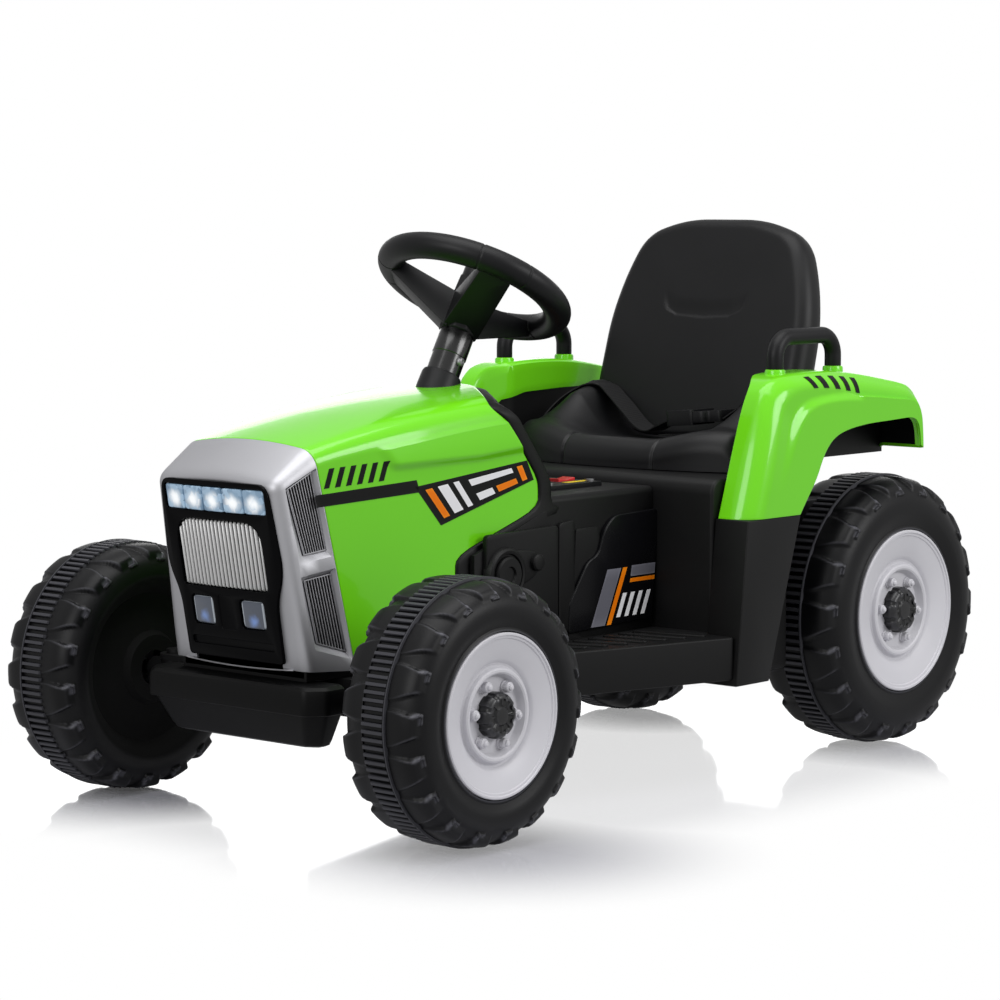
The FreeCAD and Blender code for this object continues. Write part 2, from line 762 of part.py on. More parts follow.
sleeve = rod("sleeve_tube", "sleeve_radius", ("0", "0", f"-hub_block_drop - {SLEEVE_LENGTH}"), SLEEVE_LENGTH,
             Z_AXIS)
sleeve_hollow = rod("sleeve_hollow", "steering_rod_radius + clearance",
                    ("0", "0", f"-hub_block_drop - {SLEEVE_LENGTH} - overrun"),
                    f"{SLEEVE_LENGTH} + 2 * overrun", Z_AXIS)
bolt_hole = rod("bolt_hole", "bolt_radius + clearance", ("-2 * sleeve_radius", "0", BOLT_LEVEL),
                "4 * sleeve_radius", X_AXIS)
node("column_sleeve", on_column(cut("column_sleeve", sleeve, sleeve_hollow, bolt_hole)))
bolt_shank = rod("bolt_shank", "bolt_radius", ("-sleeve_radius", "0", BOLT_LEVEL), "2 * sleeve_radius", X_AXIS)
bolt_heads = [rod("bolt_head", "bolt_head_radius", (start, "0", BOLT_LEVEL), "bolt_head_height", X_AXIS)
              for start in ("sleeve_radius", "-sleeve_radius - bolt_head_height")]
node("clamp_bolt", on_column(fuse("clamp_bolt", bolt_shank, *bolt_heads)))

shaft = rod("rod_shaft", "steering_rod_radius", ("0", "0", f"crank_lift - {ROD_LENGTH}"),
            f"{ROD_LENGTH} - crank_lift", Z_AXIS)
crank = box("crank_arm", ("-crank_width / 2", "crank_width / 2"),
            ("-crank_width / 2", f"{CRANK_LENGTH} + crank_end"),
            (f"crank_lift - {ROD_LENGTH}", f"crank_lift + crank_thickness - {ROD_LENGTH}"))
crank_pin = rod("crank_pin", "link_pin_radius", ("0", CRANK_LENGTH, f"-{ROD_LENGTH} - tie_rod_thickness"),
                "tie_rod_thickness + crank_lift + crank_thickness", Z_AXIS)
node("steering_rod", on_column(cut("steering_rod", fuse("rod_blank", shaft, crank, crank_pin), bolt_hole)))

TIE_SPAN = (f"{TIE_ROD_TOP} - tie_rod_thickness", TIE_ROD_TOP)
tie_bar = box("tie_bar", (f"-{KINGPIN} - tie_rod_width / 2", f"{KINGPIN} + tie_rod_width / 2"),
              (f"{ARM_PIN_Y} - tie_rod_width / 2", f"{ARM_PIN_Y} + tie_rod_width / 2"), TIE_SPAN)
SLOT_HALF = "(link_pin_radius + link_pin_play)"
ARM_SWING = "(knuckle_arm_length * (1 - cos(wheel_lock * 1deg)))"
CRANK_SWING = f"({CRANK_LENGTH} * (1 - cos(steering_lock * 1deg)))"
tie_tab = box("tie_tab", ("-tie_tab_width / 2", "tie_tab_width / 2"),
              (ARM_PIN_Y, f"{CRANK_PIN_Y} + tie_rod_width"), TIE_SPAN)
tie_slots = [box("tie_slot", (f"{middle} - {SLOT_HALF}", f"{middle} + {SLOT_HALF}"),
                 (f"{ARM_PIN_Y} - {ARM_SWING} - {SLOT_HALF}", f"{ARM_PIN_Y} + {SLOT_HALF}"),
                 (f"{TIE_SPAN[0]} - overrun", f"{TIE_SPAN[1]} + overrun"))
             for middle in (KINGPIN, f"-{KINGPIN}")]
PIN_LEAN = f"(({SLOT_HALF} + tie_rod_thickness / 2 * {COLUMN_BACK}) / {COLUMN_RISE})"
crank_slot = box("crank_slot", (f"-{SLOT_HALF}", SLOT_HALF),
                 (f"{CRANK_PIN_Y} - {CRANK_SWING} / {COLUMN_RISE} - {PIN_LEAN}", f"{CRANK_PIN_Y} + {PIN_LEAN}"),
                 (f"{TIE_SPAN[0]} - overrun", f"{TIE_SPAN[1]} + overrun"))
node("tie_rod", cut("tie_rod", fuse("tie_blank", tie_bar, tie_tab), *tie_slots, crank_slot))
rod_passage = rod("rod_passage", "steering_rod_radius + clearance", ("0", "0", f"-{ROD_LENGTH}"), ROD_LENGTH,
                  Z_AXIS)
column_bore = on_column(group("column_bore", rod_passage))
sleeve_passage = rod("sleeve_passage", "sleeve_radius + clearance",
                     ("0", "0", f"-hub_block_drop - {SLEEVE_LENGTH} - clearance"), SLEEVE_LENGTH, Z_AXIS)
sleeve_bore = on_column(group("sleeve_bore_placed", sleeve_passage))


# Nose frame: a shallow tray on the axle beam that carries the bumper and the bonnet.
NOSE_FLOOR = f"({KNUCKLE_TOP} + clearance + beam_ear_thickness)"
NOSE_BACK = "(hood_notch_back + cowl_band)"
BONNET_FOOT = f"({NOSE_FLOOR} + nose_depth)"
SIDE_SLOPE = "((cowl_half_width - fascia_half_width) / (bonnet_back + fascia_back_top))"
NOSE_BACK_HALF_WIDTH = f"(fascia_half_width + ({NOSE_BACK} + fascia_back_top) * {SIDE_SLOPE})"


def nose_plan(inset):
    return [
        (f"{inset} - nose_frame_half_width", f"{front('-nose_front')} + {inset}"),
        (f"nose_frame_half_width - {inset}", f"{front('-nose_front')} + {inset}"),
        (f"{NOSE_BACK_HALF_WIDTH} - {inset}", f"{front(NOSE_BACK)} - {inset}"),
        (f"{inset} - {NOSE_BACK_HALF_WIDTH}", f"{front(NOSE_BACK)} - {inset}"),
    ]


nose_outer = prism("nose_outer", "XY_Plane", nose_plan("0"), NOSE_FLOOR, BONNET_FOOT)
nose_inner = prism("nose_inner", "XY_Plane", nose_plan("wall"), f"{NOSE_FLOOR} + wall",
                   f"{BONNET_FOOT} + overrun")
node("nose_frame", cut("nose_frame", nose_outer, nose_inner, column_bore))


def bumper_side(inset, behind):
    """Side outline of the bumper: upright front, then sloping back under it."""
    return [
        (f"{front('-bumper_front')} + {inset}", f"{NOSE_FLOOR} - {inset}"),
        (f"{front('-bumper_back')} + {behind}", f"{NOSE_FLOOR} - {inset}"),
        (f"{front('-bumper_back')} + {behind}", f"bumper_foot + {inset}"),
        (f"{front('-bumper_front')} + bumper_slope + {inset}", f"bumper_foot + {inset}"),
        (f"{front('-bumper_front')} + {inset}", f"bumper_foot + bumper_slope + {inset}"),
    ]


def bumper_block(name, inset, behind):
    side = prism(name + "_side", "YZ_Plane", bumper_side(inset, behind),
                 f"{inset} - bumper_half_width", f"bumper_half_width - {inset}")
    plan = prism(name + "_plan", "XY_Plane", [
        (f"bumper_corner + {inset} - bumper_half_width", f"{front('-bumper_front')} - overrun"),
        (f"bumper_half_width - bumper_corner - {inset}", f"{front('-bumper_front')} - overrun"),
        (f"bumper_half_width + overrun - {inset}", f"{front('-bumper_front')} + bumper_corner"),
        (f"bumper_half_width + overrun - {inset}", f"{front('-bumper_back')} + overrun + {behind}"),
        (f"{inset} - bumper_half_width - overrun", f"{front('-bumper_back')} + overrun + {behind}"),
        (f"{inset} - bumper_half_width - overrun", f"{front('-bumper_front')} + bumper_corner"),
    ], "0", BONNET_FOOT)
    return common(name, side, plan)


node("front_bumper", cut("front_bumper", bumper_block("bumper_outer", "0", "0"),
                         bumper_block("bumper_inner", "wall", "overrun")))


# Bonnet: one crowned form that the fascia, the hood and the cowl trim are parts of.
def bonnet_wire(station, half_width, top, shoulder, inset, foot):
    """A closed section across the bonnet: upright sides, round shoulders and a crowned top."""
    y = size(front(station))
    side = size(half_width) - inset
    crest = size(top) - inset
    bend = max(size(shoulder) - inset, size("clearance"))
    edge = crest - size("bonnet_crown")
    chord = bend * (1 - 0.5 ** 0.5)
    left = [Vector(side, y, foot), Vector(side, y, edge - bend), Vector(side - chord, y, edge - chord),
            Vector(side - bend, y, edge)]
    right = [Vector(-point.x, y, point.z) for point in left]
    return Part.Wire([
        Part.LineSegment(right[0], left[0]).toShape(),
        Part.LineSegment(left[0], left[1]).toShape(),
        Part.Arc(left[1], left[2], left[3]).toShape(),
        Part.Arc(left[3], Vector(0, y, crest), right[3]).toShape(),
        Part.Arc(right[3], right[2], right[1]).toShape(),
        Part.LineSegment(right[1], right[0]).toShape(),
    ])


def bonnet_form(name, sections, ruled, inset="0", drop="0"):
    """The bonnet's solid through its sections, drawn in all over by an inset."""
    foot = size(BONNET_FOOT) - size(drop)
    wires = [bonnet_wire(*section, size(inset), foot) for section in sections]
    form = doc.addObject("Part::Feature", name)
    form.Shape = Part.makeLoft(wires, True, ruled)
    return form


HOOD_SECTIONS = [
    ("-fascia_back_top - overrun", "fascia_half_width - overrun * (fascia_half_width - nose_half_width)"
     " / (fascia_front_top - fascia_back_top)", "fascia_top - overrun", "bonnet_shoulder"),
    ("bonnet_middle", "middle_half_width", "middle_top", "bonnet_shoulder"),
    ("bonnet_back + overrun", "cowl_half_width", "cowl_top", "bonnet_shoulder"),
]
FASCIA_SECTIONS = [
    ("-fascia_front_top - overrun", "nose_half_width", "nose_top", "nose_shoulder"),
    ("-fascia_back_top", "fascia_half_width", "fascia_top", "bonnet_shoulder"),
    ("overrun - fascia_back_foot", f"fascia_half_width + (fascia_back_top + overrun) * {SIDE_SLOPE}",
     "middle_top", "bonnet_shoulder"),
]


def seam(height):
    """Station of the leaning seam between fascia and hood."""
    lean = f"((fascia_back_top - fascia_back_foot) / (fascia_top - {BONNET_FOOT}))"
    return f"(-fascia_back_foot - (({height}) - {BONNET_FOOT}) * {lean})"


def nose_face(height):
    """Station of the leaning front face of the fascia."""
    lean = f"((fascia_front_top - fascia_front_foot) / (nose_top - {BONNET_FOOT}))"
    return f"(-fascia_front_foot - (({height}) - {BONNET_FOOT}) * {lean})"


BONNET_SPAN = ("-cowl_half_width - overrun", "cowl_half_width + overrun")
BONNET_ROOF = "(cowl_top + overrun)"


def hood_corner(name, shift):
    """A block whose face slopes across the hood's rear upper corner."""
    ridge = Vector(size("hood_ridge_half_width"), size(front(f"hood_top_back + {shift}")), size("cowl_top"))
    shoulder = Vector(size("hood_corner_half_width"), size(front(f"hood_corner_back + {shift}")),
                      size("hood_corner_top"))
    bulge = Vector(size("cowl_half_width"), size(front(f"hood_bulge_back + {shift}")), size("hood_bulge_top"))
    block = doc.addObject("Part::Box", name)
    for side in ("Length", "Width", "Height"):
        block.setExpression(side, cells("2 * cowl_half_width"))
    facing = Rotation(Z_AXIS, (shoulder - ridge).cross(bulge - ridge))
    middle = facing.multVec(Vector(size("cowl_half_width"), size("cowl_half_width"), 0))
    block.Placement = Placement(shoulder - middle, facing)
    return block


def hood_region(name, shift):
    """All that lies ahead of the hood's rear edge, moved back by a shift."""
    side = prism(name + "_side", "YZ_Plane", [
        (front(seam(f"{BONNET_FOOT} - overrun") + " + clearance"), f"{BONNET_FOOT} - overrun"),
        (front(seam(BONNET_ROOF) + " + clearance"), BONNET_ROOF),
        (front(f"hood_top_back + {shift}"), BONNET_ROOF),
        (front(f"hood_bulge_back + {shift}"), "hood_bulge_top"),
        (front(f"hood_bulge_back + {shift}"), "hood_bulge_foot"),
        (front(f"hood_notch_back + {shift}"), "hood_notch_top"),
        (front(f"hood_notch_back + {shift}"), f"{BONNET_FOOT} - overrun"),
    ], *BONNET_SPAN)
    corner = hood_corner(name + "_corner", shift)
    return cut(name, side, corner, mirror(name + "_far_corner", corner))


hood_outer = bonnet_form("hood_outer", HOOD_SECTIONS, False)
hood_inner = bonnet_form("hood_inner", HOOD_SECTIONS, False, "wall", "overrun")
bonnet_skin = cut("bonnet_skin", hood_outer, hood_inner)
hood_shell = common("hood_shell", bonnet_skin, hood_region("hood_area", "0"))
node("hood", cut("hood", hood_shell, column_bore, sleeve_bore))

trim_area = cut("trim_area", hood_region("trim_reach", "cowl_band"), hood_region("trim_start", "clearance"))
dash_area = cut("dash_area", hood_region("dash_reach", "cowl_band"),
                hood_region("dash_start", "cowl_band - wall"))
trim_band = common("trim_band", bonnet_skin, trim_area)
dash_wall = common("dash_wall", hood_outer, dash_area)
cowl_blank = fuse("cowl_blank", trim_band, dash_wall)
node("cowl_trim", cut("cowl_trim", cowl_blank, column_bore, sleeve_bore))

COLLAR_TOP = f"(-hub_block_drop - {SLEEVE_LENGTH} + collar_height)"
collar_ring = rod("collar_ring", "sleeve_radius + collar_width",
                  ("0", "0", f"{COLLAR_TOP} - 3 * collar_height"), "3 * collar_height", Z_AXIS)
collar_bore = rod("collar_bore", "sleeve_radius + clearance", ("0", "0", f"{COLLAR_TOP} - 4 * collar_height"),
                  "5 * collar_height", Z_AXIS)
collar = on_column(cut("collar_tube", collar_ring, collar_bore))
node("column_collar", cut("column_collar", collar, hood_outer))


# Fascia, its side vents and the mask with grille and lamps.
def vent_outline(top, foot, inset):
    behind = f"- vent_border - {inset}"
    ahead = f"- vent_border - vent_width + {inset}"
    return [
        (front(seam(foot) + ahead), f"{foot} + {inset}"),
        (front(seam(foot) + behind), f"{foot} + {inset}"),
        (front(seam(top) + behind), f"{top} - {inset}"),
        (front(seam(top) + ahead), f"{top} - {inset}"),
    ]


def front_slab(name, sink, depth):
    """A leaning slab that follows the fascia's front face."""
    low = f"({BONNET_FOOT} - overrun)"
    return prism(name, "YZ_Plane", [
        (front(f"{nose_face(low)} + {sink}"), low),
        (front(f"{nose_face(low)} + {sink} + {depth}"), low),
        (front(f"{nose_face(BONNET_ROOF)} + {sink} + {depth}"), BONNET_ROOF),
        (front(f"{nose_face(BONNET_ROOF)} + {sink}"), BONNET_ROOF),
    ], *BONNET_SPAN)


FRONT_REACH = (front("-2 * bumper_front"), front("0"))


def mask_prism(name, grow):
    return prism(name, "XZ_Plane", [
        (f"-mask_foot_half_width - {grow}", f"mask_foot - {grow}"),
        (f"mask_foot_half_width + {grow}", f"mask_foot - {grow}"),
        (f"mask_waist_half_width + {grow}", "mask_waist"),
        (f"mask_half_width + {grow}", "mask_shoulder"),
        (f"mask_half_width + {grow}", f"mask_top + {grow}"),
        (f"-mask_half_width - {grow}", f"mask_top + {grow}"),
        (f"-mask_half_width - {grow}", "mask_shoulder"),
        (f"-mask_waist_half_width - {grow}", "mask_waist"),
    ], *FRONT_REACH)


def grille_prism(name, grow):
    return prism(name, "XZ_Plane", [
        (f"-grille_foot_half_width - {grow}", f"grille_foot - {grow}"),
        (f"grille_foot_half_width + {grow}", f"grille_foot - {grow}"),
        (f"grille_half_width + {grow}", f"grille_top + {grow}"),
        (f"-grille_half_width - {grow}", f"grille_top + {grow}"),
    ], *FRONT_REACH)


def lamp_blocks(name, kind, places, grow):
    """Upright blocks through the front, one for each lamp of a kind."""
    wide = f"({kind}_width / 2 + {grow})"
    high = f"({kind}_height / 2 + {grow})"
    return [box(f"{name}_{count}", (f"{middle} - {wide}", f"{middle} + {wide}"), FRONT_REACH,
                (f"{kind}_centre - {high}", f"{kind}_centre + {high}")) for count, middle in enumerate(places)]


fascia_area = prism("fascia_area", "YZ_Plane", [
    (front(nose_face(BONNET_FOOT)), BONNET_FOOT),
    (front(nose_face(BONNET_ROOF)), BONNET_ROOF),
    (front(seam(BONNET_ROOF)), BONNET_ROOF),
    (front(seam(BONNET_FOOT)), BONNET_FOOT),
], *BONNET_SPAN)
fascia_hollow = prism("fascia_hollow", "YZ_Plane", [
    (front(nose_face(f"({BONNET_FOOT} - overrun)") + " + wall"), f"{BONNET_FOOT} - overrun"),
    (front(nose_face(BONNET_ROOF) + " + wall"), BONNET_ROOF),
    (front("overrun"), BONNET_ROOF),
    (front("overrun"), f"{BONNET_FOOT} - overrun"),
], *BONNET_SPAN)
fascia_outer = common("fascia_outer", bonnet_form("nose_outer_form", FASCIA_SECTIONS, True), fascia_area)
fascia_inner = common("fascia_inner", bonnet_form("nose_inner_form", FASCIA_SECTIONS, True, "wall", "overrun"),
                      fascia_hollow)
VENTS = (("upper", "vent_top", "vent_split_top"), ("lower", "vent_split_foot", "vent_foot"))
vent_holes = [prism(f"vent_hole_{level}", "YZ_Plane", vent_outline(top, foot, "0"), *BONNET_SPAN)
              for level, top, foot in VENTS]
node("fascia", cut("fascia", fascia_outer, fascia_inner, mask_prism("mask_hole", "clearance"), *vent_holes))

vent_skin = cut("vent_skin", bonnet_form("vent_face", FASCIA_SECTIONS, True, "vent_inset", "overrun"),
                bonnet_form("vent_back", FASCIA_SECTIONS, True, "vent_inset + vent_wall", "2 * overrun"))
vent_shapes = [prism(f"vent_shape_{level}", "YZ_Plane", vent_outline(top, foot, "clearance"), *BONNET_SPAN)
               for level, top, foot in VENTS]
vent_plates = [common("vent_plate", vent_skin, shape) for shape in vent_shapes]
node("side_vents", group("side_vents", *vent_plates))

LENS_PLACES = [f"({step} * lens_pitch)" for step in range(-2, 3)]
LAMP_PLACES = ["(-lower_lamp_spread / 2)", "(lower_lamp_spread / 2)"]
mask_plate = common("mask_plate", mask_prism("mask_shape", "0"),
                    front_slab("mask_slab", "-mask_proud", "mask_thickness"))
node("mask", cut("mask", mask_plate, grille_prism("grille_hole", "clearance"),
                 *lamp_blocks("lens_hole", "lens", LENS_PLACES, "clearance"),
                 *lamp_blocks("lamp_hole", "lower_lamp", LAMP_PLACES, "clearance")))
lens_slab = front_slab("lens_slab", "lens_sink - mask_proud", "mask_thickness")
lens_row = group("lens_row", *lamp_blocks("lens", "lens", LENS_PLACES, "0"))
node("light_bar_lenses", common("light_bar_lenses", lens_row, lens_slab))
lamp_pair = group("lamp_pair", *lamp_blocks("lamp", "lower_lamp", LAMP_PLACES, "0"))
node("lower_lamps", common("lower_lamps", lamp_pair, lens_slab))

bars = []
BAR_PITCH = "(2 * grille_half_width / grille_bar_count)"
for count in range(round(size("grille_bar_count"))):
    middle = f"({count + 0.5} * {BAR_PITCH} - grille_half_width)"
    half = f"{BAR_PITCH} * (1 - grille_bar_gap_share) / 2"
    bars.append(box(f"grille_bar_{count}", (f"{middle} - {half}", f"{middle} + {half}"), FRONT_REACH,
                    ("grille_foot", "grille_top")))
bar_slab = front_slab("bar_slab", "grille_sink", "grille_bar_depth + wall / 2")
back_slab = front_slab("back_slab", "grille_sink + grille_bar_depth", "wall")
grille_bars = common("grille_bars", common("bar_row", group("bar_blocks", *bars), bar_slab),
                     grille_prism("bar_shape", "0"))
grille_back = common("grille_back", grille_prism("back_shape", "0"), back_slab)
node("radiator_grille", fuse("radiator_grille", grille_back, grille_bars))


# Lower body: tunnel cover with engine covers and console, the underpan and the footboards.
TUNNEL_BACK = f"({rear('seat_box_front')} - clearance)"
UNDERPAN_TOP = "(underpan_foot + underpan_thickness)"


def tunnel_outline(inset, behind, below):
    step = f"({inset} + clearance)"
    return [
        (front(f"{NOSE_BACK} + {inset}"), f"underpan_foot - {below}"),
        (front(f"{NOSE_BACK} + {inset}"), f"hood_notch_top - {step}"),
        (front(f"hood_bulge_back + cowl_band + {step}"), f"hood_bulge_foot - {step}"),
        (front(f"hood_bulge_back + cowl_band + {step}"), f"deck_height - {inset}"),
        (f"{TUNNEL_BACK} + {behind}", f"deck_height - {inset}"),
        (f"{TUNNEL_BACK} + {behind}", f"underpan_foot - {below}"),
    ]


CONSOLE_TOP = "(deck_height + console_thickness)"
ROCKER_Y = front("rocker_back")
console_screws = [(f"{sign}(console_half_width - screw_inset)", front(station)) for sign in ("", "-")
                  for station in ("console_back - screw_inset", "console_front + console_point + screw_inset")]
cover_screws = [(sign, front(station), "engine_cover_foot + screw_inset") for sign in ("", "-")
                for station in ("engine_cover_front + screw_inset", "engine_cover_back - screw_inset")]
COVER_FACE = "(tunnel_half_width + engine_cover_thickness)"
OUTWARD = {"": X_AXIS, "-": -X_AXIS}
screw_holes = [rod(f"console_screw_hole_{count}", "screw_shank_radius + clearance",
                   (x, y, f"{CONSOLE_TOP} - 2 * screw_length"), "3 * screw_length", Z_AXIS)
               for count, (x, y) in enumerate(console_screws)]
screw_holes += [rod(f"cover_screw_hole_{count}", "screw_shank_radius + clearance",
                    (f"{sign}({COVER_FACE} - 2 * screw_length)", y, z), "3 * screw_length", OUTWARD[sign])
                for count, (sign, y, z) in enumerate(cover_screws)]
screws = []
for count, (x, y) in enumerate(console_screws):
    shank = rod(f"console_shank_{count}", "screw_shank_radius", (x, y, f"{CONSOLE_TOP} - screw_length"),
                "screw_length", Z_AXIS)
    head = rod(f"console_head_{count}", "screw_head_radius", (x, y, CONSOLE_TOP), "screw_head_height", Z_AXIS)
    screws.append(fuse(f"console_screw_{count}", shank, head))
for count, (sign, y, z) in enumerate(cover_screws):
    shank = rod(f"cover_shank_{count}", "screw_shank_radius", (f"{sign}({COVER_FACE} - screw_length)", y, z),
                "screw_length", OUTWARD[sign])
    head = rod(f"cover_head_{count}", "screw_head_radius", (f"{sign}{COVER_FACE}", y, z), "screw_head_height",
               OUTWARD[sign])
    screws.append(fuse(f"cover_screw_{count}", shank, head))
node("body_screws", group("body_screws", *screws))

WELL_HALF_WIDTH = "(rocker_width / 2 + clearance)"
WELL_HALF_LENGTH = "(rocker_length / 2 + rocker_play)"
rocker_well = box("rocker_well", (f"rocker_left - {WELL_HALF_WIDTH}", f"rocker_left + {WELL_HALF_WIDTH}"),
                  (f"{ROCKER_Y} - {WELL_HALF_LENGTH}", f"{ROCKER_Y} + {WELL_HALF_LENGTH}"),
                  ("deck_height - 2 * rocker_depth", f"{CONSOLE_TOP} + overrun"))
knob_hole = rod("knob_hole", "knob_stem_radius + running_fit",
                ("-knob_left", ROCKER_Y, "deck_height - knob_height"), "2 * knob_height", Z_AXIS)
tunnel_outer = prism("tunnel_outer", "YZ_Plane", tunnel_outline("0", "0", "0"), "-tunnel_half_width",
                     "tunnel_half_width")
ease(tunnel_outer, "tunnel_edge", lambda edge: runs(edge, Y_AXIS)
     and edge.CenterOfMass.z > size("deck_height - clearance"))
tunnel_inner = prism("tunnel_inner", "YZ_Plane", tunnel_outline("wall", "overrun", "overrun"),
                     "wall - tunnel_half_width", "tunnel_half_width - wall")
node("tunnel_cover", cut("tunnel_cover", tunnel_outer, tunnel_inner, rocker_well, knob_hole, *screw_holes))

panel = prism("console_plate", "XY_Plane", [
    ("-console_front_half_width", front("console_front")),
    ("console_front_half_width", front("console_front")),
    ("console_half_width", front("console_front + console_point")),
    ("console_half_width", front("console_back")),
    ("-console_half_width", front("console_back")),
    ("-console_half_width", front("console_front + console_point")),
], "deck_height", CONSOLE_TOP)
node("console_panel", cut("console_panel", panel, rocker_well, knob_hole, *screw_holes[:len(console_screws)]))

rocker = prism("power_rocker", "YZ_Plane", [
    ("-rocker_length / 2", "-rocker_depth"), ("rocker_length / 2", "-rocker_depth"),
    ("rocker_length / 2", "rocker_rise"), ("0", "rocker_dip"), ("-rocker_length / 2", "rocker_rise"),
], "0", "rocker_width")
node("power_rocker", place(rocker, "rocker_left - rocker_width / 2", ROCKER_Y, CONSOLE_TOP))
knob_grip = rod("knob_grip", "knob_radius", ("-knob_left", ROCKER_Y, f"{CONSOLE_TOP} + clearance"),
                "knob_height", Z_AXIS)
knob_stem = rod("knob_stem", "knob_stem_radius", ("-knob_left", ROCKER_Y, "deck_height - wall"),
                "console_thickness + 2 * wall", Z_AXIS)
node("direction_knob", fuse("direction_knob", knob_grip, knob_stem))

cover_plate = prism("cover_plate", "YZ_Plane", [
    (front("engine_cover_front"), "engine_cover_foot"),
    (front("engine_cover_back"), "engine_cover_foot"),
    (front("engine_cover_back"), "engine_cover_top"),
    (front("engine_cover_back - engine_cover_slant"), "engine_cover_top"),
    (front("engine_cover_front"), "engine_cover_front_top"),
], "tunnel_half_width", COVER_FACE)
cover_boss = rod("cover_boss", "engine_boss_radius",
                 ("tunnel_half_width", front("engine_boss_back"), "engine_boss_height"),
                 "engine_cover_thickness + engine_boss_rise", X_AXIS)
engine_cover = cut("engine_cover", fuse("cover_blank", cover_plate, cover_boss),
                   *screw_holes[len(console_screws):len(console_screws) + 2])
node("engine_covers", group("engine_covers", engine_cover, mirror("engine_cover_right", engine_cover)))

node("underpan", box("underpan", ("wall - seat_box_waist", "seat_box_waist - wall"),
                     (front(f"{NOSE_BACK} + wall"), rear("wall - seat_box_back")),
                     ("underpan_foot", UNDERPAN_TOP)))

LEG_INNER = "(seat_box_half_width + clearance)"


def leg_side(inset):
    return [
        (f"{rear('leg_front_foot')} + {inset}", f"seat_box_foot + {inset}"),
        (f"{rear('leg_back_foot')} - {inset}", f"seat_box_foot + {inset}"),
        (f"{rear('leg_back_top')} - {inset}", f"leg_top - {inset}"),
        (f"{rear('leg_front_top')} + {inset}", f"leg_top - {inset}"),
    ]


BOARD_INNER = "(tunnel_half_width + clearance)"
BOARD_FRONT = front("footboard_front")


def board_width(y):
    """Width of a footboard at a place along it; it widens towards the back."""
    return (f"(footboard_front_width + (({y}) - {BOARD_FRONT}) / ({TUNNEL_BACK} - {BOARD_FRONT})"
            " * (footboard_back_width - footboard_front_width))")


def board_plan(inset):
    low = f"({BOARD_FRONT} + {inset})"
    high = f"({TUNNEL_BACK} - {inset})"
    return [
        (f"{BOARD_INNER} + {inset}", low), (f"{BOARD_INNER} + {board_width(low)} - {inset}", low),
        (f"{BOARD_INNER} + {board_width(high)} - {inset}", high), (f"{BOARD_INNER} + {inset}", high),
    ]


def footboard(name):
    board = prism(name + "_block", "XY_Plane", board_plan("0"), "footboard_top - footboard_depth",
                  "footboard_top")
    hollow = prism(name + "_hollow", "XY_Plane", board_plan("footboard_wall"),
                   "footboard_top - footboard_depth - overrun", "footboard_top - footboard_wall")
    ribs = []
    for count in range(round(size("tread_rib_count"))):
        inner_y = f"({TUNNEL_BACK} - tread_rib_margin - {count} * tread_rib_pitch)"
        outer_y = f"({inner_y} - tread_rib_slant)"
        outer_x = f"({BOARD_INNER} + {board_width(outer_y)} - tread_rib_margin)"
        ribs.append(prism(f"{name}_rib_{count}", "XY_Plane", [
            (f"{BOARD_INNER} + tread_rib_margin", inner_y), (outer_x, outer_y),
            (outer_x, f"{outer_y} - tread_rib_width"),
            (f"{BOARD_INNER} + tread_rib_margin", f"{inner_y} - tread_rib_width"),
        ], "footboard_top - footboard_wall / 2", "footboard_top + tread_rib_rise"))
    leg_room = prism(name + "_leg_room", "YZ_Plane", leg_side("-clearance"), f"{LEG_INNER} - clearance",
                     "leg_outer + overrun")
    return cut(name, fuse(name + "_ribbed", cut(name + "_tray", board, hollow), *ribs), leg_room)


node("footboard_left", footboard("footboard_left"))

# Foot pedal on the right footboard, hinged at the heel.
PEDAL_Y = front("pedal_heel")
PEDAL_AXIS = "(footboard_top + pedal_base_height + pedal_lift)"
PEDAL_SIDE = "(pedal_width / 2 + clearance)"
pedal_plate = box("pedal_plate", ("-pedal_width / 2", "pedal_width / 2"), ("-pedal_length", "0"),
                  ("-pedal_thickness / 2", "pedal_thickness / 2"))
pedal_pin = rod("pedal_pin", "pedal_pin_radius", (f"-{PEDAL_SIDE} - pedal_ear_thickness", "0", "0"),
                f"2 * {PEDAL_SIDE} + 2 * pedal_ear_thickness", X_AXIS)
node("foot_pedal", place(fuse("foot_pedal", pedal_plate, pedal_pin), "-pedal_left", PEDAL_Y, PEDAL_AXIS,
                         Rotation(X_AXIS, -size("pedal_tilt"))))
base_plate = box("pedal_base_plate", (f"-pedal_left - {PEDAL_SIDE} - pedal_ear_thickness",
                                      f"{PEDAL_SIDE} + pedal_ear_thickness - pedal_left"),
                 (f"{PEDAL_Y} - pedal_length", f"{PEDAL_Y} + pedal_lift * 2"),
                 ("footboard_top", "footboard_top + pedal_base_height"))
pedal_ears = [box("pedal_ear", (f"{start} - pedal_left", f"{start} + pedal_ear_thickness - pedal_left"),
                  (f"{PEDAL_Y} - pedal_lift * 2", f"{PEDAL_Y} + pedal_lift * 2"),
                  ("footboard_top", f"{PEDAL_AXIS} + pedal_lift"))
              for start in (f"-{PEDAL_SIDE} - pedal_ear_thickness", PEDAL_SIDE)]
pedal_bore = rod("pedal_bore", "pedal_pin_radius + running_fit",
                 ("-pedal_left - pedal_width", PEDAL_Y, PEDAL_AXIS), "2 * pedal_width", X_AXIS)
node("pedal_base", cut("pedal_base", fuse("pedal_base_blank", base_plate, *pedal_ears), pedal_bore))
BASE_SIDE = f"({PEDAL_SIDE} + pedal_ear_thickness + clearance)"
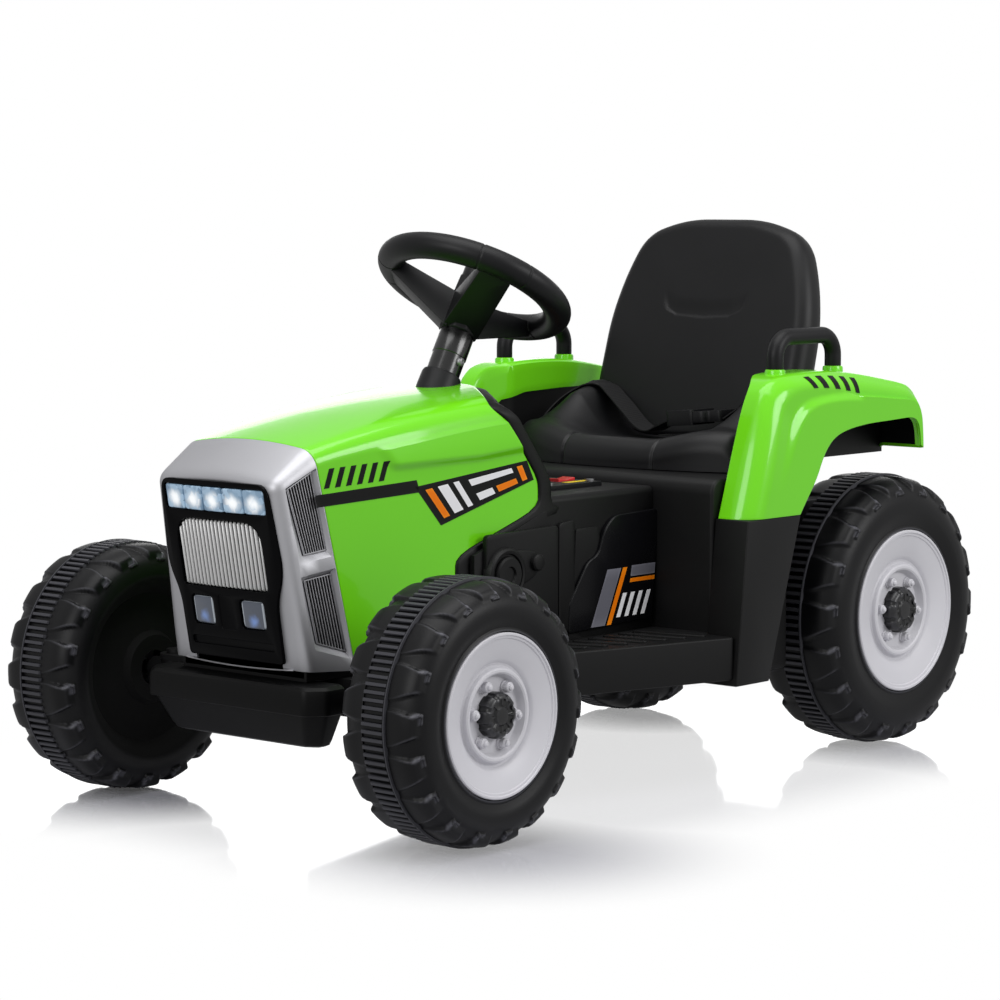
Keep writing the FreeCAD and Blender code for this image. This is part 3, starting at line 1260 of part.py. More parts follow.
base_room = box("pedal_base_room", (f"-pedal_left - {BASE_SIDE}", f"{BASE_SIDE} - pedal_left"),
                (f"{PEDAL_Y} - pedal_length - clearance", f"{PEDAL_Y} + pedal_lift * 2 + clearance"),
                ("footboard_top", "footboard_top + pedal_base_height"))
plain_board = mirror("footboard_plain", footboard("board_source"))
node("footboard_right", cut("footboard_right", plain_board, base_room))

# Seat box with the drive and the battery in it.


def seat_box_block(name, inset, below):
    shelf = box(name + "_shelf", (f"{inset} - seat_box_half_width", f"seat_box_half_width - {inset}"),
                (f"{rear('seat_box_front')} + {inset}", f"{rear('seat_box_shelf')} - {inset}"),
                (f"seat_box_foot - {below}", f"seat_box_top - {inset}"))
    waist = box(name + "_waist", (f"{inset} - seat_box_waist", f"seat_box_waist - {inset}"),
                (f"{rear('seat_box_shelf')} - 2 * overrun", f"{rear('-seat_box_back')} - {inset}"),
                (f"underpan_foot - {below}", f"seat_box_top - {inset}"))
    return fuse(name, shelf, waist)


wire_door = box("wire_door", ("wall - seat_box_waist", "seat_box_waist - wall"),
                (rear("seat_box_front + overrun"), rear("seat_box_front - overrun")), ("0", "footboard_top"))
boss_holes = rod("boss_holes", "gearbox_boss_radius + clearance",
                 ("-seat_box_half_width", REAR_AXLE, "rear_tyre_radius"),
                 "2 * seat_box_half_width", X_AXIS)
socket_hole = rod("socket_hole", "socket_radius + clearance",
                  ("-socket_left", rear("seat_box_front + overrun"), "socket_height"), "2 * overrun", Y_AXIS)
node("seat_box", cut("seat_box", seat_box_block("seat_box_outer", "0", "0"),
                     seat_box_block("seat_box_inner", "wall", "overrun"), wire_door, boss_holes, socket_hole))

flange = rod("socket_flange", "socket_flange_radius",
             ("-socket_left", rear("seat_box_front + socket_flange_depth"), "socket_height"),
             "socket_flange_depth", Y_AXIS)
barrel_body = rod("socket_barrel", "socket_radius", ("-socket_left", rear("seat_box_front"), "socket_height"),
                  "socket_depth", Y_AXIS)
socket_bore = rod("socket_bore", "socket_bore_radius",
                  ("-socket_left", rear("seat_box_front + overrun"), "socket_height"), "socket_depth", Y_AXIS)
node("charge_socket", cut("charge_socket", fuse("socket_blank", flange, barrel_body), socket_bore))

GEARBOX_FACE = "(seat_box_waist - wall)"
gear_case = box("gear_case", (f"{GEARBOX_FACE} - gearbox_width", GEARBOX_FACE),
                (rear("gearbox_front"), rear("-gearbox_back")), (UNDERPAN_TOP, "gearbox_top"))
gear_boss = rod("gear_boss", "gearbox_boss_radius", (f"{GEARBOX_FACE} - wall", REAR_AXLE, "rear_tyre_radius"),
                f"rear_track / 2 - rear_tyre_width / 2 + web_inset - clearance - {GEARBOX_FACE} + wall", X_AXIS)
gear_bore = rod("gear_bore", "axle_radius + clearance", ("0", REAR_AXLE, "rear_tyre_radius"), "rear_track",
                X_AXIS)
gearbox = cut("gearbox", fuse("gearbox_blank", gear_case, gear_boss), gear_bore)
node("gearboxes", group("gearboxes", gearbox, mirror("gearbox_right", gearbox)))
motor = rod("motor", "motor_radius",
            (f"{GEARBOX_FACE} - gearbox_width - motor_length", rear("motor_front"), "motor_height"),
            "motor_length", X_AXIS)
node("drive_motors", group("drive_motors", motor, mirror("motor_right", motor)))
node("rear_axle", rod("rear_axle", "axle_radius", (f"-{axle_end('rear')}", REAR_AXLE, "rear_tyre_radius"),
                      f"2 * {axle_end('rear')}", X_AXIS))
node("battery", box("battery", ("-battery_half_width", "battery_half_width"),
                    (rear("battery_front"), rear("battery_front - battery_length")),
                    (UNDERPAN_TOP, f"{UNDERPAN_TOP} + battery_height")))
node("control_box", box("control_box", ("control_box_left", "control_box_left + control_box_width"),
                        (front("-control_box_front"), front("control_box_length - control_box_front")),
                        (f"{NOSE_FLOOR} + wall", f"{NOSE_FLOOR} + wall + control_box_height")))

# Fenders on their black legs, with the handrails.
leg_block = prism("leg_block", "YZ_Plane", leg_side("0"), LEG_INNER, "leg_outer")
leg_hollow = prism("leg_hollow", "YZ_Plane", leg_side("wall"), f"{LEG_INNER} - overrun", "leg_outer - wall")
leg = cut("leg", leg_block, leg_hollow)
node("fender_legs", group("fender_legs", leg, mirror("leg_right", leg)))

FENDER_FOOT = "(leg_top + clearance)"


def fender_side(inset, below):
    """Side outline of a fender: front slope, crest, tail and the arch over the wheel."""
    return [
        (f"{rear('leg_front_top')} + {inset}", f"{FENDER_FOOT} - {below}"),
        (f"{rear('fender_front_top')} + {inset}", f"fender_front_height - {inset}"),
        (f"{rear('fender_crest_front')}", f"fender_crest_height - {inset}"),
        (f"{rear('fender_crest_back')}", f"fender_crest_height - {inset}"),
        (f"{rear('-fender_tail_back')} - {inset}", f"fender_tail_top - {inset}"),
        (f"{rear('-fender_tail_foot')} - {inset}", f"fender_tail_drop - {below}"),
        (rear("arch_middle"), f"arch_middle_height - {below}"),
        (rear("arch_front"), f"arch_front_height - {below}"),
        (rear("leg_back_top"), f"{FENDER_FOOT} - {below}"),
    ]


fender_block = prism("fender_block", "YZ_Plane", fender_side("0", "0"), "fender_inner", "leg_outer")
fender_hollow = prism("fender_hollow", "YZ_Plane", fender_side("wall", "overrun"), "fender_inner + wall",
                      "leg_outer - wall")
for form, thickness in ((fender_block, "0"), (fender_hollow, "wall")):
    outer_face = rim_of("x", size(f"leg_outer - fender_inner - 2 * {thickness}"))
    ease(form, f"fender_bend - {thickness}", lambda edge: runs(edge, X_AXIS)
         and edge.CenterOfMass.z > size("arch_middle_height + fender_bend"))
    ease(form, f"fender_edge - {thickness}", lambda edge: outer_face(edge)
         and edge.CenterOfMass.z > size("arch_middle_height + fender_edge"))
seat_room = box("seat_room", ("fender_inner - overrun", LEG_INNER),
                (rear("2 * seat_box_front"), rear("-2 * seat_box_back")), ("0", "fender_skirt_foot"))
rail_bosses = [rod("rail_boss", "rail_boss_radius", ("rail_left", rear(station), "fender_crest_height - wall"),
                   "wall + rail_boss_rise", Z_AXIS) for station in ("rail_front", "rail_back")]
fender_shell = cut("fender_shell", fender_block, fender_hollow, seat_room)
fender = node("fender_left", fuse("fender_left", fender_shell, *rail_bosses))
node("fender_right", mirror("fender_right", fender))


def rail_tube():
    """A bent tube: up, a quarter bend, level, a quarter bend, down."""
    x = size("rail_left")
    low = size("fender_crest_height + rail_boss_rise")
    top = low + size("rail_rise")
    bend = size("rail_bend")
    chord = bend * (1 - 0.5 ** 0.5)
    fore = size(rear("rail_front"))
    aft = size(rear("rail_back"))
    path = Part.Wire([
        Part.LineSegment(Vector(x, fore, low), Vector(x, fore, top - bend)).toShape(),
        Part.Arc(Vector(x, fore, top - bend), Vector(x, fore + chord, top - chord),
                 Vector(x, fore + bend, top)).toShape(),
        Part.LineSegment(Vector(x, fore + bend, top), Vector(x, aft - bend, top)).toShape(),
        Part.Arc(Vector(x, aft - bend, top), Vector(x, aft - chord, top - chord),
                 Vector(x, aft, top - bend)).toShape(),
        Part.LineSegment(Vector(x, aft, top - bend), Vector(x, aft, low)).toShape(),
    ])
    ring = Part.Wire(Part.Circle(Vector(x, fore, low), Z_AXIS, size("rail_radius")).toShape())
    return path.makePipeShell([ring], True, False)


rail = doc.addObject("Part::Feature", "rail")
rail.Shape = rail_tube()
node("handrails", group("handrails", rail, mirror("rail_right", rail)))

# Seat: a dished pan on the box, a leaning back, and the lap belt with its buckle.
PAN_TOP = "(seat_box_top + seat_pan_height)"
DISH_FLOOR = f"({PAN_TOP} - seat_dish_depth)"
DISH_RISE = "(seat_dish_half_width + seat_dish_slope)"


def pan_plan(inset):
    return [
        (f"{inset} - seat_half_width", f"{rear('seat_front')} + {inset}"),
        (f"seat_half_width - {inset}", f"{rear('seat_front')} + {inset}"),
        (f"seat_half_width - {inset}", f"{rear('seat_step')} - {inset}"),
        (f"seat_tail_half_width - {inset}", f"{rear('seat_tail')} - {inset}"),
        (f"{inset} - seat_tail_half_width", f"{rear('seat_tail')} - {inset}"),
        (f"{inset} - seat_half_width", f"{rear('seat_step')} - {inset}"),
    ]


pan_block = prism("pan_block", "XY_Plane", pan_plan("0"), "seat_box_top", PAN_TOP)
ease(pan_block, "seat_corner", lambda edge: runs(edge, Z_AXIS)
     and edge.CenterOfMass.y < size(rear("seat_step + seat_corner")))
ease(pan_block, "seat_edge", rim_of("z", size("seat_pan_height")))
pan_hollow = prism("pan_hollow", "XY_Plane", pan_plan("seat_rim"), "seat_box_top - overrun",
                   "seat_box_top + seat_step_height - wall")
pan_dish = prism("pan_dish", "XZ_Plane", [
    ("-seat_dish_half_width", DISH_FLOOR), ("seat_dish_half_width", DISH_FLOOR),
    (DISH_RISE, PAN_TOP), (DISH_RISE, f"{PAN_TOP} + overrun"),
    (f"-{DISH_RISE}", f"{PAN_TOP} + overrun"), (f"-{DISH_RISE}", PAN_TOP),
], rear("seat_front + overrun"), rear("seat_tail - overrun"))
pan_step = box("pan_step", ("-2 * seat_half_width", "2 * seat_half_width"),
               (rear("seat_step"), rear("seat_tail - overrun")),
               ("seat_box_top + seat_step_height", f"{PAN_TOP} + overrun"))
node("seat_pan", cut("seat_pan", pan_block, pan_hollow, pan_dish, pan_step))

BACK_Y = f"({rear('back_foot_forward')} + back_thickness * cos(back_tilt * 1deg))"
BACK_Z = "(back_foot_height - back_thickness * sin(back_tilt * 1deg))"


def back_plan(inset, foot):
    return [
        (f"{inset} - back_foot_half_width", foot), (f"back_foot_half_width - {inset}", foot),
        (f"back_waist_half_width - {inset}", "back_length * back_waist_share"),
        (f"back_top_half_width - {inset}", f"back_length - {inset}"),
        (f"{inset} - back_top_half_width", f"back_length - {inset}"),
        (f"{inset} - back_waist_half_width", "back_length * back_waist_share"),
    ]


back_block = prism("back_block", "XZ_Plane", back_plan("0", "-back_thickness"), "0", "back_thickness")
back_hollow = prism("back_hollow", "XZ_Plane", back_plan("back_rim", "-2 * back_thickness"), "0",
                    "back_thickness - back_skin")
for form, inset in ((back_block, "0"), (back_hollow, "back_rim")):
    ease(form, f"back_corner - {inset}", lambda edge: runs(edge, Y_AXIS)
         and edge.CenterOfMass.z > size("back_length - back_corner"))
ease(back_block, "back_edge", rim_of("y", -size("back_thickness")))
LEAN_BACK = Rotation(X_AXIS, -size("back_tilt"))
place(back_block, "0", BACK_Y, BACK_Z, LEAN_BACK)
place(back_hollow, "0", BACK_Y, BACK_Z, LEAN_BACK)
back_foot = box("back_foot", ("-2 * seat_half_width", "2 * seat_half_width"),
                (rear("2 * seat_front"), rear("-2 * seat_box_back")), ("0", "seat_box_top + seat_step_height"))
node("seat_back", cut("seat_back", back_block, back_hollow, back_foot))

STRAP_LOW = f"({DISH_FLOOR} + clearance)"
STRAP_HIGH = f"({PAN_TOP} + clearance)"
STRAP_LEVEL = (rear("strap_forward + strap_width / 2"), rear("strap_forward - strap_width / 2"))
strap = prism("strap", "XZ_Plane", [
    ("buckle_length / 2", STRAP_LOW), ("seat_dish_half_width", STRAP_LOW), (DISH_RISE, STRAP_HIGH),
    ("strap_end", STRAP_HIGH), ("strap_end", f"{STRAP_HIGH} + strap_thickness"),
    (f"{DISH_RISE} - strap_thickness", f"{STRAP_HIGH} + strap_thickness"),
    ("seat_dish_half_width - strap_thickness", f"{STRAP_LOW} + strap_thickness"),
    ("buckle_length / 2", f"{STRAP_LOW} + strap_thickness"),
], *STRAP_LEVEL)
node("belt_straps", group("belt_straps", strap, mirror("strap_right", strap)))
node("belt_buckle", box("belt_buckle", ("-buckle_length / 2", "buckle_length / 2"),
                           (rear("strap_forward + buckle_width / 2"), rear("strap_forward - buckle_width / 2")),
                           (STRAP_LOW, f"{STRAP_LOW} + buckle_height")))

# Every object of the document has to be sound before anything is written.
doc.recompute()
failed = [thing.Name for thing in doc.Objects if {"Invalid", "Error"} & set(thing.State)]
failed += [name for name, thing in NODES.items() if thing.Shape.isNull() or not thing.Shape.isValid()]
if failed:
    raise RuntimeError(f"not sound: {failed}")
os.makedirs("parts", exist_ok=True)
for name, thing in NODES.items():
    solids = thing.Shape.Solids
    whole = solids[0] if len(solids) == 1 else Part.makeCompound(solids)
    whole.exportStep(f"parts/{thing.Label}.step")
    print(name, len(solids), round(whole.Volume))
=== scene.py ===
import json
import math

import bpy
from mathutils import Matrix, Vector

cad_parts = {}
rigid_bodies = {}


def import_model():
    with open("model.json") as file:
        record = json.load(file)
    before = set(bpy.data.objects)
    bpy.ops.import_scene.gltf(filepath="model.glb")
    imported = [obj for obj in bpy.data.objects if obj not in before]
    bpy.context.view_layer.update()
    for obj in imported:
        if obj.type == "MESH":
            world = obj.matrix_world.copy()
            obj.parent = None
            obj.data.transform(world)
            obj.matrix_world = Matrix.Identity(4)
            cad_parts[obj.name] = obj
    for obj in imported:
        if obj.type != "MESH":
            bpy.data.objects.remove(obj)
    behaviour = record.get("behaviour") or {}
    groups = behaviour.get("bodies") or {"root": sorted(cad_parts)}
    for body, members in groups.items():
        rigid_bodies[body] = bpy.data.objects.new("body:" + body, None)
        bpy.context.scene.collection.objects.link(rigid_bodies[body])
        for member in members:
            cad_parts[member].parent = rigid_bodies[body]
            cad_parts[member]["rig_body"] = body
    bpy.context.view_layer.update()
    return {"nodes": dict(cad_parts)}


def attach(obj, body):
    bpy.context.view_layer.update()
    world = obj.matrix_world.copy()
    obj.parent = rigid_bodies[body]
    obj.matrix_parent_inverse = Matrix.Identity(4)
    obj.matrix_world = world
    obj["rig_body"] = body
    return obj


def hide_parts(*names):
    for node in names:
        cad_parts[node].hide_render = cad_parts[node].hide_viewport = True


# A ride-on tractor for a small child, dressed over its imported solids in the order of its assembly.
# Every mesh is worked in millimetres in the solids' own frame and brought to metres when it is finished.
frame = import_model()
bpy.ops.object.select_all(action="DESELECT")
MM = 0.001

# Studio: a camera low at the tractor's left front corner, a pale glossy floor that mirrors the wheels,
# and soft boxes overhead, at the front and along the side. The background is plain white. Near the wheels
# and under the body the floor turns grey, as painted shade.
VIEW_FROM = (2020.2, -2375.6, 549.95)
VIEW_AT = (0, -93, 250)
eye = bpy.data.objects.new("eye", bpy.data.cameras.new("eye"))
bpy.context.scene.collection.objects.link(eye)
eye.location = Vector(VIEW_FROM) * MM
eye.rotation_euler = (Vector(VIEW_AT) - Vector(VIEW_FROM)).to_track_quat("-Z", "Y").to_euler()
eye.data.lens = 118.23
eye.data.shift_x = 0.0254
eye.data.shift_y = 0.0123
eye.data.clip_start = 0.1
eye.data.clip_end = 60
bpy.context.scene.camera = eye
bpy.context.scene.view_settings.view_transform = "Standard"


def soft_box(name, place, aim, width, height, power, tint=(1, 1, 1)):
    """A square studio lamp that looks at a point."""
    lamp = bpy.data.objects.new(name, bpy.data.lights.new(name, "AREA"))
    bpy.context.scene.collection.objects.link(lamp)
    lamp.data.shape = "RECTANGLE"
    lamp.data.size = width
    lamp.data.size_y = height
    lamp.data.energy = power
    lamp.data.color = tint
    lamp.location = place
    lamp.rotation_euler = (Vector(aim) - Vector(place)).to_track_quat("-Z", "Y").to_euler()


soft_box("overhead", (0.3, -0.3, 2.4), (0, 0, 0.2), 2.4, 2.0, 46)
soft_box("front_box", (0.4, -3.0, 1.5), (0, 0, 0.25), 1.6, 1.2, 30)
soft_box("side_box", (2.7, 1.0, 1.5), (0, 0.1, 0.3), 1.6, 1.2, 38)
soft_box("back_box", (-2.2, 2.6, 0.9), (0, 0, 0.35), 3.0, 0.9, 14)


class Value:
    """An output of a shader node, on which sums are written as on a number."""

    def __init__(self, finish, socket):
        self.finish = finish
        self.socket = socket

    def sum(self, operation, first, second=0.0):
        settings = {"operation": operation}
        return self.finish.node("Math", settings, {0: first, 1: second})

    def __add__(self, other):
        return self.sum("ADD", self, other)

    __radd__ = __add__

    def __sub__(self, other):
        return self.sum("SUBTRACT", self, other)

    def __rsub__(self, other):
        return self.sum("SUBTRACT", other, self)

    def __mul__(self, other):
        return self.sum("MULTIPLY", self, other)

    __rmul__ = __mul__

    def __truediv__(self, other):
        return self.sum("DIVIDE", self, other)

    def __pow__(self, other):
        return self.sum("POWER", self, other)

    def __abs__(self):
        return self.sum("ABSOLUTE", self)

    def fraction(self):
        return self.sum("FRACT", self)

    def at_least(self, other):
        return self.sum("MAXIMUM", self, other)

    def part(self, name):
        """Another output of the same node."""
        return Value(self.finish, self.socket.node.outputs[name])


class Finish:
    """A material made of nodes, with its shader's sockets by name."""

    def __init__(self, name, **shader):
        self.material = bpy.data.materials.new(name)
        self.material.use_nodes = True
        self.tree = self.material.node_tree
        self.shader = self.tree.nodes["Principled BSDF"]
        for socket, value in shader.items():
            self.set(socket.replace("_", " ").title().replace("Ior", "IOR"), value)

    def set(self, socket, value):
        self.join(value, self.shader.inputs[socket])

    def join(self, value, socket):
        if isinstance(value, Value):
            self.tree.links.new(value.socket, socket)
        else:
            socket.default_value = value

    def node(self, kind, settings=None, sockets=None):
        made = self.tree.nodes.new("ShaderNode" + kind)
        for name, value in (settings or {}).items():
            setattr(made, name, value)
        for name, value in (sockets or {}).items():
            self.join(value, made.inputs[name])
        return Value(self, next(out for out in made.outputs if out.enabled))

    def place(self, kind="Object"):
        return self.node("TexCoord").part(kind)

    def axes(self, kind="Object"):
        split = self.node("SeparateXYZ", None, {0: self.place(kind)})
        return split.part("X"), split.part("Y"), split.part("Z")

    def noise(self, scale, detail=4.0, stretch=(1, 1, 1)):
        spot = self.node("Mapping", None, {"Vector": self.place(), "Scale": stretch})
        return self.node("TexNoise", None, {"Vector": spot, "Scale": scale, "Detail": detail})

    def ramp(self, value, low, high):
        """0 below low and 1 above high, with a soft step between."""
        return self.node("MapRange", {"interpolation_type": "SMOOTHSTEP"},
                         {"Value": value, "From Min": low, "From Max": high})

    def mix(self, share, first, second):
        sockets = {0: share, 6: first, 7: second}
        made = self.tree.nodes.new("ShaderNodeMix")
        made.data_type = "RGBA"
        for name, value in sockets.items():
            self.join(value, made.inputs[name])
        return Value(self, made.outputs[2])

    def bump(self, height, strength, distance=0.001):
        sockets = {"Height": height, "Strength": strength, "Distance": distance}
        self.set("Normal", self.node("Bump", None, sockets))

    def worn_edge(self, low=0.52, high=0.62):
        """1 on sharp outer edges, from how far the surface turns."""
        return self.ramp(self.node("NewGeometry").part("Pointiness"), low, high)


def tone(red, green, blue):
    """A colour as it is read on a screen, made linear."""
    return tuple((c / 255) ** 2.2 for c in (red, green, blue)) + (1.0,)


FLOOR_REACH = 30
SHADE_HALF_X, SHADE_HALF_Y, SHADE_SHIFT_Y, SHADE_FADE, SHADE_SHARE = 0.24, 0.42, 0.01, 0.13, 0.28
WHEEL_SHADE_MIRRORS = ((-0.21, -0.343, 0.95), (0.21, -0.343, 0.75), (-0.156, 0.323, 0.7), (0.156, 0.323, 0.7))
SHADE_MIRROR_HALF, SHADE_MIRROR_NEAR, SHADE_MIRROR_FAR = 0.04, 0.02, 0.24
bpy.ops.mesh.primitive_grid_add(x_subdivisions=2, y_subdivisions=2, size=FLOOR_REACH)
floor = bpy.context.object
floor.name = "studio_floor"
floor_look = Finish("studio_floor", ior=1.45, coat_weight=1.0, coat_roughness=0.04)
haze = floor_look.noise(3.0, 2.0)
floor_look.set("Base Color", floor_look.mix(haze, tone(186, 186, 198), tone(194, 194, 205)))
floor_look.set("Roughness", haze * 0.05 + 0.08)
floor_x, floor_y, _ = floor_look.axes()
past_x = (abs(floor_x) - SHADE_HALF_X).at_least(0)
past_y = (abs(floor_y + SHADE_SHIFT_Y) - SHADE_HALF_Y).at_least(0)
# The floor's grey shows only around the body and the wheels and lets the white world through elsewhere: the
# grey patch is painted shade, while its coat really mirrors the wheels.
shade_and_mirror_share = (1 - floor_look.ramp((past_x * past_x + past_y * past_y) ** 0.5, 0.0, SHADE_FADE)) * SHADE_SHARE
for wheel_x, wheel_y, shade_mirror_share in WHEEL_SHADE_MIRRORS:
    off_x = (abs(floor_x - wheel_x) - SHADE_MIRROR_HALF).at_least(0)
    off_y = abs(floor_y - wheel_y)
    near = 1 - floor_look.ramp((off_x * off_x + off_y * off_y) ** 0.5, SHADE_MIRROR_NEAR, SHADE_MIRROR_FAR)
    shade_and_mirror_share = shade_and_mirror_share.at_least(near * shade_mirror_share)
floor_look.set("Alpha", shade_and_mirror_share)
floor.data.materials.append(floor_look.material)

world = bpy.data.worlds.new("white_room")
world.use_nodes = True
bpy.context.scene.world = world
sky = world.node_tree
ray = sky.nodes.new("ShaderNodeLightPath")
GLOSSY_LIGHT, OTHER_LIGHT = 0.55, 0.42
glow = sky.nodes.new("ShaderNodeMapRange")
glow.inputs["To Min"].default_value = OTHER_LIGHT
glow.inputs["To Max"].default_value = GLOSSY_LIGHT
sky.links.new(ray.outputs["Is Glossy Ray"], glow.inputs["Value"])
seen = sky.nodes.new("ShaderNodeMath")
seen.operation = "MAXIMUM"
sky.links.new(ray.outputs["Is Camera Ray"], seen.inputs[0])
sky.links.new(ray.outputs["Is Transmission Ray"], seen.inputs[1])
bright = sky.nodes.new("ShaderNodeMath")
bright.operation = "MAXIMUM"
sky.links.new(seen.outputs[0], bright.inputs[0])
sky.links.new(glow.outputs[0], bright.inputs[1])
sky.nodes["Background"].inputs["Color"].default_value = (1, 1, 1, 1)
sky.links.new(bright.outputs[0], sky.nodes["Background"].inputs["Strength"])

# Tyres: hollow blow-moulded black plastic. Two rows of lugs run from a ribbed middle band over the shoulders
# and end on the side wall in short hooks. Each tyre is one shell, pressed on its axle with the rim cover.
FRONT_AXLE_Y, REAR_AXLE_Y = -343, 323
WHEELS = {
    "front": dict(radius=115, half=45, rim=70, track=210, y=FRONT_AXLE_Y, cap=1.0),
    "rear": dict(radius=135, half=48, rim=80, track=156, y=REAR_AXLE_Y, cap=1.16),
}
LUGS, RIBS_PER_LUG = 18, 6
LUG_LEAN = 750


def skin(name, across, along, place, closed=False):
    """A grid whose corners are put where place says for each pair of the two lists' values."""
    columns, rows = len(across) - 1, len(along) - 1
    bpy.ops.mesh.primitive_grid_add(x_subdivisions=columns, y_subdivisions=rows, size=2)
    piece = bpy.context.object
    piece.name = name
    for corner in piece.data.vertices:
        column = round((corner.co.x + 1) / 2 * columns)
        row = round((corner.co.y + 1) / 2 * rows)
        corner.co = place(across[column], along[row])
    if closed:
        bpy.ops.object.mode_set(mode="EDIT")
        bpy.ops.mesh.select_all(action="SELECT")
        bpy.ops.mesh.remove_doubles(threshold=0.005)
        bpy.ops.mesh.normals_make_consistent(inside=False)
        bpy.ops.object.mode_set(mode="OBJECT")
    return piece


def spread(low, high, count):
    """Evenly spaced values from low to high."""
    return [low + (high - low) * step / count for step in range(count + 1)]


def step(value, low, high):
    """A soft step from 0 at low to 1 at high."""
    share = min(1.0, max(0.0, (value - low) / (high - low)))
    return share * share * (3 - 2 * share)


def between(points, value):
    """A height read off a broken line of (place, height) points."""
    if value <= points[0][0]:
        return points[0][1]
    for (a, low), (b, high) in zip(points, points[1:]):
        if value <= b:
            return low + (high - low) * (value - a) / (b - a)
    return points[-1][1]


def select_only(*pieces):
    bpy.ops.object.select_all(action="DESELECT")
    for piece in pieces:
        piece.select_set(True)
    bpy.context.view_layer.objects.active = pieces[0]


def settle(piece, matrix=None, angle=32):
    """Brings a finished piece to its place in metres and smooths its shading below an angle."""
    piece.data.transform(Matrix.Scale(MM, 4) @ (matrix or Matrix.Identity(4)))
    select_only(piece)
    bpy.ops.object.shade_smooth_by_angle(angle=math.radians(angle))
    return piece


def fit(piece, body, slot, finish, *nodes):
    """Gives a piece its finish, its body and the solids that it stands for."""
    piece.data.materials.clear()
    piece.data.materials.append(finish.material)
    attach(piece, body)
    if nodes:
        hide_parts(*nodes)
    return piece


def twin(piece, name, matrix):
    """A copy with its own mesh, moved or mirrored, with its faces turned outwards."""
    other = bpy.data.objects.new(name, piece.data.copy())
    bpy.context.scene.collection.objects.link(other)
    other.data.transform(matrix)
    if matrix.determinant() < 0:
        other.data.flip_normals()
    return other


def join(first, *others):
    select_only(first, *others)
    bpy.ops.object.join()
    return first


def hook(turn, slope):
    """1 on the short hooks in which the lugs end on the side wall."""
    spot = (turn - slope / LUG_LEAN) % 1.0
    reach = (1 - step(spot, 0.78, 0.82)) * (1 - step(slope, 64, 67.5))
    edge = step(spot, 0.69, 0.73) * step(slope, 44, 52)
    foot = step(spot, 0.52, 0.56) * step(slope, 60, 63)
    return max(edge, foot) * reach


def outer_lug(turn, slope):
    """Height of the outer lugs at a turn in pitches and a slope, 0 degrees on the crown, 90 on the side."""
    spot = (turn - slope / LUG_LEAN) % 1.0
    half = 0.42 - 0.17 * step(slope, 0, 60)
    pad = (1 - step(abs(spot - 0.5), half - 0.05, half + 0.03)) * (1 - step(slope, 44, 66))
    return max(pad * (1.3 + 2.4 * step(slope, 4, 40)), 2.7 * hook(turn, slope))


def inner_lug(turn, slope):
    """The inner lugs are the same pads, a little deeper and set between the outer ones."""
    return 1.25 * outer_lug(0.5 - turn, slope)


def tyre(name, radius, half, rim):
    """The shell of one tyre about the X axis, outer face towards +X."""
    lug, band = 4.2, 12.0
    side_power, crown_power = 0.95, 0.78
    tread = radius - lug
    drop = 0.62 * (tread - rim)
    reach = half - 0.8 - band
    outer = [(half - 1.0, tread - drop - 3), (half - 2.0, rim + 0.62 * (tread - drop - rim)),
             (half - 3.4, rim + 6), (half - 4, rim + 4), (half - 3.2, rim + 2.6), (half - 2.8, rim + 1.2),
             (half - 4.5, rim + 0.3)]
    inner = [(half - 2, tread - drop - 4), (half - 4, rim + 6), (half - 14, rim - 2), (half - 16, rim - 14),
             (half - 10, 34), (half - 4, 30), (half - 4, 16)]
    columns = spread(0, LUGS, LUGS * 32)
    slopes = spread(0, 90, 36)
    shells = []
    for side, line, lugs in ((1, outer, outer_lug), (-1, inner, inner_lug)):

        def put(turn, row, side=side, line=line, lugs=lugs):
            if row <= 90:
                bend = math.radians(row)
                x = band + reach * math.sin(bend) ** side_power
                r = tread - drop + drop * max(0.0, math.cos(bend)) ** crown_power
                rise = lugs(turn, row)
                x += rise * math.sin(bend)
                r += rise * math.cos(bend)
            else:
                x, r = line[row - 91]
            angle = turn / LUGS * 2 * math.pi
            return Vector((side * x, r * math.sin(angle), r * math.cos(angle)))

        shell = skin(name, columns, slopes + [91 + k for k in range(len(line))], put, closed=True)
        # The hook layer marks the hooks, which are painted pale as painted highlights, and with -1 the inner
        # side wall under the tread, which is painted near black as painted shade.
        pale = shell.data.attributes.new("hook", "FLOAT", "POINT")
        for corner, mark in zip(shell.data.vertices, pale.data):
            share = min(1.0, max(0.0, (abs(corner.co.x) - band) / reach))
            outside = math.hypot(corner.co.y, corner.co.z) > tread - drop - 1
            turn = math.atan2(corner.co.y, corner.co.z) / (2 * math.pi) * LUGS
            slope = math.degrees(math.asin(share ** (1 / side_power)))
            mark.value = hook(turn if side > 0 else 0.5 - turn, slope) * outside
            if side < 0 and not outside:
                mark.value = -1.0
        shells.append(shell)
    ribs = LUGS * RIBS_PER_LUG
    columns = [rib + edge for rib in range(ribs) for edge in (0, 0.12, 0.5, 0.62)] + [ribs]
    rows = [-band - 0.6, -band, -band + 0.5, band - 0.5, band, band + 0.5, band + 1.7, band + 2.2]

    def rib(turn, x):
        raised = 0.1 < turn % 1 < 0.55 and abs(x) < band
        r = radius - 1.0 if raised else radius - 3.8
        if x > band + 0.1:
            r = radius - 0.8 if x < band + 2 else tread - 1
        elif x < -band - 0.1:
            r = tread - 1
        angle = turn / ribs * 2 * math.pi
        return Vector((x, r * math.sin(angle), r * math.cos(angle)))

    shells.append(skin(name, columns, rows, rib, closed=True))
    return join(*shells)


def on_axle(wheel):
    """The place of a left wheel that is drawn about the origin."""
    return Matrix.Translation((wheel["track"], wheel["y"], wheel["radius"]))


def right_hand(piece, wheel):
    """The left wheel's piece again, turned half round to the right wheel."""
    about = Matrix.Translation((0, wheel["y"] * MM, 0))
    half_turn = Matrix.Rotation(math.pi, 4, "Z")
    return twin(piece, piece.name.replace("left", "right"), about @ half_turn @ about.inverted())


